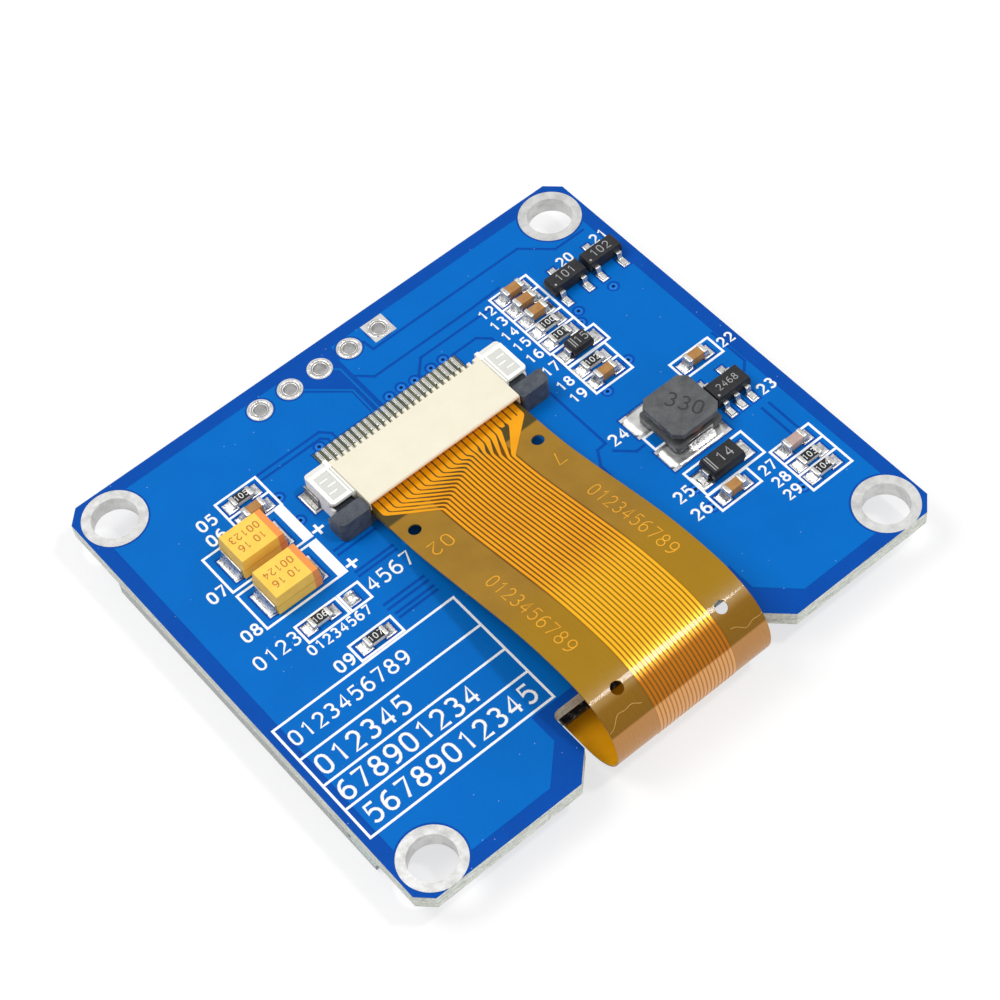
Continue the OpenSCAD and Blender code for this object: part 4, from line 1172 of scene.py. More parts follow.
class Bender:
    """Bends a flat layout, drawn as across, along and stand-off, round a route."""

    def __init__(self) -> None:
        """Builds the tree: each point goes to its distance along the route and stands off it."""
        tree, source, output = new_tree("Bend", [
            ("Flat", "NodeSocketGeometry"), ("Route", "NodeSocketObject"), ("Finish", "NodeSocketMaterial"),
            ("Inner finish", "NodeSocketMaterial")])
        self.tree = tree
        info = add_node(tree, "GeometryNodeObjectInfo", {"Object": source.outputs["Route"]})
        place = add_node(tree, "GeometryNodeInputPosition")
        parts = add_node(tree, "ShaderNodeSeparateXYZ", {0: place.outputs[0]})
        sample = add_node(tree, "GeometryNodeSampleCurve", {
            "Curves": info.outputs["Geometry"], "Length": parts.outputs[1]}, mode="LENGTH")
        kind = "ShaderNodeVectorMath"
        cross = add_node(tree, kind, {0: sample.outputs["Tangent"], 1: (1.0, 0.0, 0.0)},
                         operation="CROSS_PRODUCT")
        unit = add_node(tree, kind, {0: cross.outputs[0]}, operation="NORMALIZE")
        off = add_node(tree, kind, {0: unit.outputs[0], "Scale": parts.outputs[2]}, operation="SCALE")
        across = add_node(tree, "ShaderNodeCombineXYZ", {0: parts.outputs[0]})
        first = add_node(tree, kind, {0: sample.outputs["Position"], 1: off.outputs[0]})
        second = add_node(tree, kind, {0: first.outputs[0], 1: across.outputs[0]})
        move = add_node(tree, "GeometryNodeSetPosition", {
            "Geometry": source.outputs["Flat"], "Position": second.outputs[0]})
        realize = add_node(tree, "GeometryNodeRealizeInstances", {0: move.outputs[0]})
        finish = add_node(tree, "GeometryNodeSetMaterial", {
            "Geometry": realize.outputs[0], "Material": source.outputs["Finish"]})
        inner = add_node(tree, "GeometryNodeSetMaterial", {
            "Geometry": finish.outputs[0], "Selection": named_value(tree, "inner", "BOOLEAN"),
            "Material": source.outputs["Inner finish"]})
        feed(output, 0, inner.outputs[0])

    def bend(self, flat: Piece, route: Piece, finish: Finish,
             inner: Optional[Finish] = None) -> Piece:
        """Bends a flat piece round a route.

        Args:
            flat: The flat piece, in metres.
            route: A poly curve with the route's middle line.
            finish: Its finish.
            inner: The finish of faces marked inner, if another.

        Returns:
            The same piece, bent.
        """
        bend = flat.modifiers.new("Bend", "NODES")
        bend.node_group = self.tree
        bend[socket_id(self.tree, "Route")] = route
        bend[socket_id(self.tree, "Finish")] = finish.material()
        bend[socket_id(self.tree, "Inner finish")] = (inner or finish).material()
        return bake(flat)


def settle(piece: Piece, finish: Optional[Finish] = None, body: Body = Body.MODULE,
           stands_for: Sequence[str] = ()) -> Piece:
    """Gives a finished piece its finish and body, hides the CAD nodes that it replaces, and logs it.

    Args:
        piece: The piece.
        finish: Its finish, if it isn't painted yet.
        body: The body that it rides on.
        stands_for: The CAD nodes that it replaces.

    Returns:
        The same piece.
    """
    if finish:
        piece.data.materials.clear()
        piece.data.materials.append(finish.material())
    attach(piece, body.value)
    if stands_for:
        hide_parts(*stands_for)
    log.info("%s: %d faces", piece.name, len(piece.data.polygons))
    return piece


def dress(node: str, finish: Finish) -> None:
    """Paints a CAD node that stays in view.

    Args:
        node: The node's name.
        finish: Its finish.
    """
    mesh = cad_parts[node].data
    mesh.materials.clear()
    mesh.materials.append(finish.material())
    log.info("%s: dressed", node)


def softened(node: str, name: str, width: float, finish: Finish, body: Body = Body.MODULE,
             segments: int = 2) -> Piece:
    """A copy of a CAD node with rounded edges, in its place.

    Args:
        node: The node's name.
        name: The new piece's name.
        width: Width of the rounding in millimetres.
        finish: The piece's finish.
        body: The body that it rides on.
        segments: Steps in the rounding.

    Returns:
        The new piece.
    """
    shape = Builder()
    shape.copy(node)
    piece = soften(shape.make(name), width, segments)
    return settle(piece, finish, body, [node])


# ---- sub-assemblies ----


@dataclass
class Board:
    """The circuit board: the copper pour under its mask with its grooves, the vias and the hole barrels."""

    repeat: Repeater
    pour_t: float = 0.02
    border: float = 1.05
    corner_cut: float = 1.1
    notch_half: float = 7.15
    notch_l: float = 4.9
    flare: float = 2.3
    bore: float = 0.5
    groove_w: float = 0.2
    gap: float = 0.13
    via_r: float = 0.3
    via_hole_r: float = 0.13
    via_room: float = 0.16
    strip_t: float = 0.012
    barrel_t: float = 0.015
    vias: Chain = (
        (17.85, 8.85), (14.7, 8.85), (14.2, 8.0), (11.65, 2.35), (14.4, 3.4), (-5.3, 12.0), (0.7, 12.05),
        (1.75, 12.1), (2.8, 11.95), (4.25, 12.0), (5.3, 12.0), (-9.8, 8.15), (-9.75, 10.55), (10.6, -7.5),
        (10.5, -9.3), (15.8, -12.1))
    grooves: Sequence[Chain] = (
        ((0.1, 15.0), (1.0, 14.05), (9.6, 14.05), (12.0, 14.15)),
        ((2.3, 16.9), (2.4, 15.95), (15.2, 15.95), (17.1, 14.1), (19.6, 14.1)),
        ((-10.0, 12.95), (-4.6, 12.95), (-4.0, 12.3), (-4.0, 11.8)),
        ((-10.0, 12.45), (-4.85, 12.45), (-4.5, 12.1), (-4.5, 11.8)),
        ((3.3, 11.9), (3.3, 12.1), (4.3, 13.15), (10.9, 13.15)),
        ((6.0, 11.85), (8.1, 11.85), (8.85, 11.1), (8.85, 9.7)),
        ((8.75, 5.0), (8.75, -0.8), (8.0, -0.85), (7.3, -2.0), (7.3, -6.0)),
        ((8.75, -1.6), (9.8, -2.65), (10.5, -2.65)),
        ((-9.6, 4.75), (-6.6, 4.75)), ((-9.6, 4.3), (-6.6, 4.3)),
        ((-9.6, 2.5), (-6.6, 2.5)), ((-9.6, 2.1), (-6.6, 2.1)),
        ((-9.8, -0.7), (-6.6, -0.7)), ((-9.8, -1.15), (-6.6, -1.15)),
        ((-9.6, -1.7), (-6.6, -1.7)), ((-9.6, -2.1), (-6.6, -2.1)),
        ((18.15, -5.7), (18.15, -8.5)), ((18.8, -5.7), (18.8, -8.5)),
        ((20.0, 1.2), (20.0, -2.0), (19.4, -2.6), (19.2, -2.6)))
    bare: Chain = (
        (0.0, 11.2), (0.1, 16.74), (0.35, 17.3), (0.35, 18.6), (-3.4, 18.6), (-3.4, 16.3), (-0.95, 14.05),
        (-1.05, 11.2))
    tracks: Sequence[Chain] = (
        ((-0.7, 16.55), (-0.3, 16.15), (-0.38, 11.4)), ((-3.2, 16.5), (-0.75, 14.15), (-0.85, 11.4)))
    track_w: float = 0.2
    low: Vector = field(init=False)
    high: Vector = field(init=False)

    def __post_init__(self) -> None:
        """Takes the board's size from the frame."""
        self.low, self.high = box_of("circuit_board")

    @property
    def top(self) -> float:
        """Height of the component side."""
        return self.high.z

    @property
    def pour_top(self) -> float:
        """Height of the mask over the copper."""
        return self.top + self.pour_t

    def pour_plan(self) -> list[Spot2]:
        """Outline of the copper pour, which follows the board's edge and its notch."""
        b, cut, flare = self.border, self.corner_cut, self.flare
        x0, x1 = self.low.x + b, self.high.x - b
        y0, y1 = self.low.y + b, self.high.y - b
        notch, deep = self.notch_half + b, self.notch_l + b * 0.6
        inner = self.low.y + deep
        return [(x0, y0 + cut), (x0 + cut, y0), (-notch - flare, y0), (-notch, y0 + flare), (-notch, inner),
                (notch, inner), (notch, y0 + flare), (notch + flare, y0), (x1 - cut, y0), (x1, y0 + cut),
                (x1, y1 - cut), (x1 - cut, y1), (x0 + cut, y1), (x0, y1 - cut)]

    def windows(self) -> Builder:
        """Everything that is cut from the pour: grooves, room round pads, holes and vias."""
        cut = Builder()
        low, high = self.top - 0.5, self.top + 0.5
        for groove in self.grooves:
            cut.path(groove, self.groove_w, low, high)
        for box_low, box_high, _ in islands("solder_pads"):
            if box_low.y > self.strip[1] - 0.3 and abs(box_low.x) < self.strip[2]:
                continue
            cut.box((box_low.x - self.gap, box_low.y - self.gap, low),
                    (box_high.x + self.gap, box_high.y + self.gap, high))
        x0, y0, x1, y1 = self.strip
        cut.box((x0 - self.gap, y0 - self.gap, low), (x1 + self.gap, y1 + self.gap, high))
        cut.prism(self.bare, low, high)
        for node in ("mounting_hole_plating", "header_pads"):
            for box_low, box_high, _ in islands(node):
                if box_high.z < self.top + 0.01:
                    continue
                middle = (box_low + box_high) / 2
                cut.disc((middle.x, middle.y), (box_high.x - box_low.x) / 2 + self.gap, low, high, 40)
        for spot in self.vias:
            cut.disc(spot, self.via_r + self.via_room, low, high, 20)
        return cut

    @property
    def strip(self) -> tuple[float, float, float, float]:
        """The bare strip under the connector's tails, as its lowest and highest x and y."""
        low, high = box_of("connector_contacts")
        return low.x - 0.2, box_of("connector_housing")[1].y - 0.6, high.x + 0.2, high.y + 0.12

    def pour(self) -> None:
        """Makes the pour under its mask."""
        slab = Builder()
        slab.prism(self.pour_plan(), self.top - 0.001, self.pour_top)
        piece = slab.make("mask_over_pour")
        settle(cut_with(piece, self.windows()), Look.POUR)
        lines = Builder()
        mesh = strokes(self.tracks, self.track_w, 2 * self.pour_t)
        mesh.transform(Matrix.Translation((0, 0, self.top - self.pour_t)))
        lines.take(mesh)
        settle(lines.make("mask_over_tracks"), Look.POUR)

    def bare_strip(self) -> None:
        """Makes the strip of laminate without mask between the fine pads, with a step along its edge."""
        x0, y0, x1, y1 = self.strip
        shape = Builder()
        shape.box((x0, y0, self.top), (x1, y1, self.top + self.strip_t))
        shape.frame((x0, y0), (x1, y1), 0.06, self.top, self.top + 1.5 * self.strip_t)
        settle(shape.make("bare_strip"), Look.BARE)

    def rings(self) -> None:
        """Makes the tented vias and the barrels in the header's holes."""
        ring = Builder()
        r, hole, h = self.via_r, self.via_hole_r, self.pour_t
        ring.turned([(hole, 0.0), (r, 0.0), (r - 0.04, h), (r - 0.12, h * 1.3), (hole + 0.05, h * 1.2),
                     (hole, h * 0.6)], 20)
        spots = [Spot((x, y, self.top)) for x, y in self.vias]
        self.repeat.make("via_rings", ring.make("via"), spots, Look.VIA, Slot.MASK)
        pit = Builder()
        pit.turned([(0.001, 0.0), (hole, 0.0), (hole, h * 0.35), (hole * 0.5, h * 0.2), (0.001, h * 0.15)],
                   16)
        self.repeat.make("via_pits", pit.make("pit"), spots, Look.PIT, Slot.MASK)
        barrel = Builder()
        tops = [b for b in islands("header_pads") if b[1].z > self.top + 0.01]
        depth, outer, inner = self.high.z - self.low.z, self.bore + 0.02, self.bore - self.barrel_t
        barrel.turned([(inner, 0.0), (outer, 0.0), (outer, depth + 0.042), (self.bore + 0.01, depth + 0.046),
                       (inner, depth + 0.03)], 32)
        spots = [Spot(((a.x + b.x) / 2, (a.y + b.y) / 2, self.low.z)) for a, b, _ in tops]
        self.repeat.make("header_barrels", barrel.make("barrel"), spots, Look.TIN, Slot.TIN)
        spots = [Spot((spot.at[0], spot.at[1], tops[0][1].z)) for spot in spots]
        rim = Builder()
        rim.turned([(0.66, -0.01), (0.79, -0.01), (0.79, 0.01), (0.76, 0.03), (0.7, 0.028), (0.66, 0.0)], 36)
        self.repeat.make("header_rims", smooth(rim.make("rim"), 50), spots, Look.SOLDER, Slot.TIN)
        # A dark ring painted on each header pad as the shade round the hole's edge.
        ring = Builder()
        ring.turned([(0.55, -0.01), (0.61, -0.01), (0.61, 0.002), (0.55, 0.004)], 36)
        self.repeat.make("header_grooves", ring.make("ring"), spots, Look.GROOVE_SHADE, Slot.TIN)

    def build(self) -> None:
        """Makes and dresses the board."""
        dress("circuit_board", Look.BOARD)
        dress("mounting_hole_plating", Look.TIN)
        dress("header_pads", Look.TIN)
        self.pour()
        self.bare_strip()
        self.rings()


@dataclass
class Silkscreen:
    """The white print on the board: boxes, bars, a table and plain numbers where the labels stand."""

    board: Board
    ink_t: float = 0.014
    line: float = 0.17
    stagger: float = 0.0006
    cross_w: float = 0.2
    cross_half: float = 0.35
    boxes: Sequence[tuple[float, float, float, float]] = (
        (16.1, -0.45, 19.5, 1.15), (11.0, 5.65, 14.7, 7.3), (11.0, 2.7, 14.2, 5.6),
        (10.85, -8.4, 15.85, -6.1),
        (10.75, -9.95, 14.15, -8.45), (16.1, -12.75, 19.5, -8.65), (-13.25, 10.0, -9.95, 12.95),
        (-16.4, 6.65, -10.0, 10.0), (-16.4, 2.95, -10.0, 6.25), (-15.05, 0.3, -11.8, 1.85),
        (-11.6, 0.3, -10.0, 1.85), (-13.4, -3.05, -10.05, -1.6), (10.8, -3.4, 11.9, -2.2),
        (10.85, 7.3, 14.1, 13.75), (-20.65, -13.1, -6.2, -3.25))
    rules: Sequence[tuple[float, float, float]] = (
        (11.0, 14.2, 4.15), (16.1, 19.5, -10.0), (16.1, 19.5, -11.3), (-13.25, -9.95, 11.4),
        (10.85, 14.1, 12.4), (10.85, 14.1, 11.2), (10.85, 14.1, 9.95), (10.85, 14.1, 8.65),
        (-20.65, -6.2, -6.0), (-20.65, -6.2, -8.4), (-20.65, -6.2, -10.6))
    bars: Sequence[tuple[float, float, float, float]] = (
        (-10.65, 6.65, -10.0, 10.0), (-10.65, 2.95, -10.0, 6.25))
    crosses: Chain = ((-9.39, 6.8), (-9.39, 3.22))
    labels: Sequence[tuple[str, float, float, float]] = (
        ("05", -14.49, 12.17, 0.85), ("06", -14.67, 10.82, 0.85), ("07", -17.25, 7.21, 0.85),
        ("08", -17.34, 3.4, 0.85), ("09", -14.3, -2.38, 0.85), ("12", 10.0, 13.02, 0.75),
        ("13", 10.0, 11.76, 0.75), ("14", 10.0, 10.55, 0.75), ("15", 10.0, 9.3, 0.75),
        ("16", 10.0, 7.95, 0.75), ("17", 10.1, 6.36, 0.8), ("18", 10.0, 4.78, 0.75),
        ("19", 10.0, 3.43, 0.75), ("20", 16.95, 12.95, 0.75), ("21", 20.0, 12.95, 0.75),
        ("22", 20.3, 0.2, 0.75), ("23", 19.6, -4.52, 0.8), ("24", 9.71, -0.97, 0.85),
        ("25", 9.77, -7.3, 0.85),
        ("26", 9.74, -9.04, 0.85), ("27", 15.17, -9.42, 0.75), ("28", 15.17, -10.68, 0.75),
        ("29", 15.05, -11.89, 0.75), ("0123", -16.95, 1.23, 1.0), ("4567", -7.95, 1.08, 1.05),
        ("01234567", -13.05, -0.24, 0.7), ("0123456789", -15.6, -4.55, 1.05), ("012345", -16.6, -7.2, 1.35),
        ("678901234", -14.85, -9.52, 1.35), ("56789012345", -13.35, -11.87, 1.35))

    def build(self) -> None:
        """Makes the print on top of the mask."""
        low = self.board.pour_top - 0.002
        high = low + self.ink_t
        ink = Builder()
        inside = self.line / 2
        for number, (x0, y0, x1, y1) in enumerate(self.boxes):
            ink.frame((x0, y0), (x1, y1), self.line, low, high + number * self.stagger)
        for x0, x1, y in self.rules:
            ink.bar((x0 + inside, y), (x1 - inside, y), self.line, low, high - self.stagger)
        for x0, y0, x1, y1 in self.bars:
            ink.box((x0, y0, low), (x1, y1, high + len(self.boxes) * self.stagger))
        for x, y in self.crosses:
            ink.bar((x - self.cross_half, y), (x + self.cross_half, y), self.cross_w, low, high)
            ink.bar((x, y - self.cross_half), (x, y + self.cross_half), self.cross_w, low,
                    high + self.stagger)
        settle(ink.make("silkscreen_lines"), Look.SILK)
        figures = Builder()
        for words, x, y, height in self.labels:
            weight = 0.23 if height < 1 else 0.17
            place_letters(figures, words, height, self.ink_t, (x, y, low), weight=weight)
        settle(figures.make("silkscreen_numbers"), Look.SILK)


@dataclass
class ChipParts:
    """The small capacitors and resistors: ceramic bodies, tinned ends, and plain numbers on the resistors."""

    repeat: Repeater
    end: float = 0.34
    shrink: float = 0.035
    round: float = 0.05
    numbers: Sequence[str] = ("100", "101", "102", "103", "104", "105", "106", "107")
    pink: int = 7
    glaze_t: float = 0.05

    @staticmethod
    def names(kind: str) -> list[str]:
        """Names of the CAD nodes of one kind, in order."""
        return sorted(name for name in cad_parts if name.startswith(kind) and name[-1].isdigit())

    def shape(self, name: str, size: Point, rounding: float, waist: float = 0.0) -> Piece:
        """A rounded block standing at the origin, its sides drawn in slightly.

        Args:
            name: The object's name.
            size: Its length, width and height.
            rounding: Width of its rounded edges.
            waist: How far its sides are drawn in.

        Returns:
            The block.
        """
        half = Vector(size) / 2
        block = Builder()
        block.box((-half.x, -half.y, 0.0), (half.x, half.y, size[2]))
        if waist:
            bmesh.ops.subdivide_edges(block.bm, edges=block.bm.edges, cuts=1, use_grid_fill=True)
            for vert in block.bm.verts:
                if abs(vert.co.x) < 0.01:
                    vert.co.y *= 1 - waist
                    vert.co.z = size[2] / 2 + (vert.co.z - size[2] / 2) * (1 - waist)
        return soften(block.make(name), rounding, 2)

    def ends(self, kind: str, nodes: Sequence[str]) -> None:
        """Makes the tinned ends of all parts of one kind.

        Args:
            kind: What they are called.
            nodes: The CAD nodes.
        """
        low, high = box_of(nodes[0])
        cap = self.shape("end", (self.end, high.y - low.y, high.z - low.z), self.round * 1.4)
        spots = []
        for node in nodes:
            low, high = box_of(node)
            y = (low.y + high.y) / 2
            spots.append(Spot((low.x + self.end / 2, y, low.z)))
            spots.append(Spot((high.x - self.end / 2, y, low.z), 180.0))
        self.repeat.make(f"{kind}_ends", cap, spots, Look.CHIP_END, Slot.TIN)

    def bodies(self, name: str, nodes: Sequence[str], look: Finish, slot: Slot,
               sink: float = 0.0) -> None:
        """Makes the bodies of parts of one kind.

        Args:
            name: The piece's name.
            nodes: The CAD nodes that they replace.
            look: Their finish.
            slot: The record's material slot.
            sink: How far their tops stay below the ends' tops.
        """
        low, high = box_of(nodes[0])
        size = high - low
        s = self.shrink
        block = self.shape("body", (size.x - self.end, size.y - 2 * s, size.z - s - sink), self.round, 0.04)
        spots = [Spot(((a.x + b.x) / 2, (a.y + b.y) / 2, a.z)) for a, b in map(box_of, nodes)]
        self.repeat.make(name, block, spots, look, slot, stands_for=nodes)

    def glazes(self, nodes: Sequence[str]) -> None:
        """Makes the black glaze on the resistors, and the plain numbers on it.

        Args:
            nodes: The CAD nodes.
        """
        low, high = box_of(nodes[0])
        size = high - low
        plate = self.shape("glaze", (size.x - 1.7 * self.end, size.y - 0.06, self.glaze_t), 0.02)
        top = high.z - self.glaze_t
        spots = [Spot(((a.x + b.x) / 2, (a.y + b.y) / 2, top)) for a, b in map(box_of, nodes)]
        self.repeat.make("resistor_glazes", plate, spots, Look.COAT, Slot.RESISTOR)
        figures = Builder()
        for node, words in zip(nodes, self.numbers):
            a, b = box_of(node)
            middle = (a + b) / 2
            place_letters(figures, words, 0.42, PRINT_T, (middle.x, middle.y, b.z - SINK), weight=0.17)
        settle(figures.make("resistor_numbers"), Look.DIGIT)

    def build(self) -> None:
        """Makes all chip parts."""
        capacitors, resistors = self.names("ceramic_capacitor"), self.names("resistor")
        self.ends("capacitor", capacitors)
        self.ends("resistor", resistors)
        pink = [node for node in capacitors if node.endswith(str(self.pink))]
        tan = [node for node in capacitors if node not in pink]
        self.bodies("capacitor_bodies", tan, Look.TAN, Slot.TAN)
        self.bodies("capacitor_body_pink", pink, Look.PINK, Slot.PINK)
        self.bodies("resistor_bodies", resistors, Look.ALUMINA, Slot.RESISTOR, self.glaze_t * 0.6)
        self.glazes(resistors)


@dataclass
class Solder:
    """The pads with their crowned tin and the solder fillets at every joint."""

    repeat: Repeater
    crown: float = 0.35
    cells: int = 8
    fine: float = 0.45
    fine_share: float = 0.85
    spare_pad: Spot2 = (-11.05, 1.05)

    def pad_shape(self) -> Piece:
        """A pad one unit wide and high, with a low crown and rounded corners."""
        pad = Builder()

        def place(u: float, v: float) -> Point:
            x, y = 2 * u - 1, 2 * v - 1
            fall = max(abs(x), abs(y)) ** 6
            return x / 2, y / 2, 1.0 - self.crown * fall

        pad.surface(self.cells, self.cells, place, 0.0)
        return smooth(pad.make("pad"), 40)

    def fillet_shape(self) -> Piece:
        """A fillet one unit long, wide and high: tall at its back, hollow, and drawn in at its toe."""
        fillet = Builder()

        def place(u: float, v: float) -> Point:
            side = 2 * v - 1
            wide = 1.0 - 0.22 * u ** 2
            z = (1 - u) ** 1.9 * (1.0 - 0.3 * abs(side) ** 3) + 0.02
            return u - 0.06, side / 2 * wide, max(z, 0.015)

        fillet.surface(self.cells, self.cells, place, 0.0)
        return smooth(fillet.make("fillet"), 60)

    def pads(self) -> None:
        """Makes the pads' crowned tops."""
        spots = []
        for low, high, _ in islands("solder_pads"):
            size = high - low
            if size.x < self.fine:
                size.x *= self.fine_share
            spots.append(Spot(((low.x + high.x) / 2, (low.y + high.y) / 2, low.z), 0.0, tuple(size)))
        self.repeat.make("pads", self.pad_shape(), spots, Look.TIN, Slot.TIN, stands_for=["solder_pads"])

    def fillets(self) -> None:
        """Makes the solder fillets, each falling away from its part."""
        spots = []
        for node in ("solder_chips", "solder_leads"):
            for low, high, top in islands(node):
                size, middle = high - low, (low + high) / 2
                lean = middle - top
                if abs(lean.x) > abs(lean.y):
                    turn = 0.0 if lean.x > 0 else 180.0
                    back = (low.x if lean.x > 0 else high.x, middle.y, low.z)
                    stretch = (size.x, size.y, size.z)
                else:
                    turn = 90.0 if lean.y > 0 else -90.0
                    back = (middle.x, low.y if lean.y > 0 else high.y, low.z)
                    stretch = (size.y, size.x, size.z)
                spots.append(Spot(back, turn, stretch))
        self.repeat.make("solder_fillets", self.fillet_shape(), spots, Look.SOLDER, Slot.SOLDER,
                         stands_for=["solder_chips", "solder_leads"])

    def blob(self) -> None:
        """Makes the lump of solder left on the empty pad beside the address resistor."""
        at_x, at_y = self.spare_pad
        pads = [(a, b) for a, b, _ in islands("solder_pads") if abs((a.x + b.x) / 2 - at_x) < 0.3
                and abs((a.y + b.y) / 2 - at_y) < 0.4]
        for number, (low, high) in enumerate(pads):
            lump = Builder()
            middle, size = (low + high) / 2, high - low

            def place(u: float, v: float) -> Point:
                x, y = 2 * u - 1, 2 * v - 1
                r = min(1.0, max(abs(x), abs(y)) ** 2 * 0.75 + (x * x + y * y) * 0.2)
                return (middle.x + x * size.x * 0.44, middle.y + y * size.y * 0.44,
                        high.z + 0.3 * math.sqrt(max(0.0, 1 - r)) - 0.01)

            lump.surface(12, 12, place, high.z - 0.015)
            settle(smooth(lump.make(f"solder_lump_{number + 1}"), 60), Look.SOLDER)

    def build(self) -> None:
        """Makes pads and solder."""
        self.pads()
        self.fillets()
        self.blob()


@dataclass
class Tantalums:
    """The two moulded tantalum capacitors with their stripe, lettering and folded terminals."""

    round: float = 0.07
    height: float = 0.52
    rows: Sequence[float] = (-0.45, 0.45)
    numbers: Sequence[Sequence[str]] = (("10 16", "00123"), ("10 16", "00124"))

    def build(self) -> None:
        """Makes the cases, their numbers and their terminals."""
        figures = Builder()
        for number, rows in enumerate(self.numbers, 1):
            case = f"tantalum_{number}_body"
            softened(case, f"tantalum_case_{number}", self.round, Look.TANTALUM, segments=3)
            low, high = box_of(case)
            middle = (low + high) / 2
            for shift, words in zip(self.rows, rows):
                at = (middle.x - 0.2, middle.y + shift, high.z - SINK)
                place_letters(figures, words, self.height, PRINT_T, at, 180.0, 0.17)
            softened(f"tantalum_{number}_terminals", f"tantalum_terminals_{number}", 0.035,
                     Look.LEAD)
        settle(figures.make("tantalum_numbers"), Look.BROWN)


@dataclass
class SmallPackages:
    """The moulded packages: regulators, converter and diodes, with their leads and plain numbers."""

    round: float = 0.045
    marks: Sequence[tuple[str, str, float, bool]] = (
        ("converter", "2468", 0.5, False), ("regulator_1", "101", 0.62, False),
        ("regulator_2", "102", 0.62, False),
        ("boost_diode", "14", 0.75, True), ("reset_diode", "15", 0.62, True))

    def build(self) -> None:
        """Makes every package."""
        figures = Builder()
        for name, words, height, band in self.marks:
            body = f"{name}_body"
            softened(body, f"{name}_case", self.round, Look.BLACK)
            softened(f"{name}_leads", f"{name}_legs", 0.03, Look.LEAD)
            low, high = box_of(body)
            middle = (low + high) / 2
            top = high.z - 0.002
            at = (middle.x + (0.2 if band else 0.0), middle.y, top)
            place_letters(figures, words, height, PRINT_T, at, weight=0.13)
            if band:
                for start in (0.24, 0.42):
                    figures.box((low.x + start, low.y + 0.2, top),
                                (low.x + start + 0.07, high.y - 0.2, top + PRINT_T))
            else:
                figures.disc((low.x + 0.32, low.y + 0.3), 0.09, top, top + PRINT_T, 14)
        settle(figures.make("package_numbers"), Look.MARK)


@dataclass
class Inductor:
    """The power inductor: ferrite drum, its turns of wire, its terminals and a plain number."""

    repeat: Repeater
    turns: int = 5
    twist: float = 17.0
    steps: int = 40

    def build(self) -> None:
        """Makes the inductor."""
        softened("inductor_core", "inductor_drum", 0.09, Look.FERRITE, segments=3)
        softened("inductor_terminals", "inductor_feet", 0.04, Look.FOOT)
        low, high = box_of("inductor_winding")
        middle, out = (low + high) / 2, (high.x - low.x) / 2
        ring = Builder()
        r = (high.z - low.z) / (2 * self.turns)
        circle = [2 * math.pi * i / 10 for i in range(10)]
        ring.turned([(out - r + r * math.cos(a), r * math.sin(a)) for a in circle], self.steps)
        inner, outer = out - 3 * r, out - 1.2 * r
        ring.turned([(inner, -r), (outer, -r), (outer, r), (inner, r)], self.steps)
        spots = [Spot((middle.x, middle.y, low.z + r * (2 * i + 1)), self.twist * i)
                 for i in range(self.turns)]
        self.repeat.make("inductor_turns", smooth(ring.make("turn"), 50), spots, Look.WINDING, Slot.WINDING,
                         stands_for=["inductor_winding"])
        low, high = box_of("inductor_core")
        middle = (low + high) / 2
        figures = Builder()
        at = (middle.x + 0.3, middle.y - 0.1, high.z - SINK)
        place_letters(figures, "330", 1.05, 0.01, at, -62.0, 0.14)
        settle(figures.make("inductor_number"), Look.DARK)


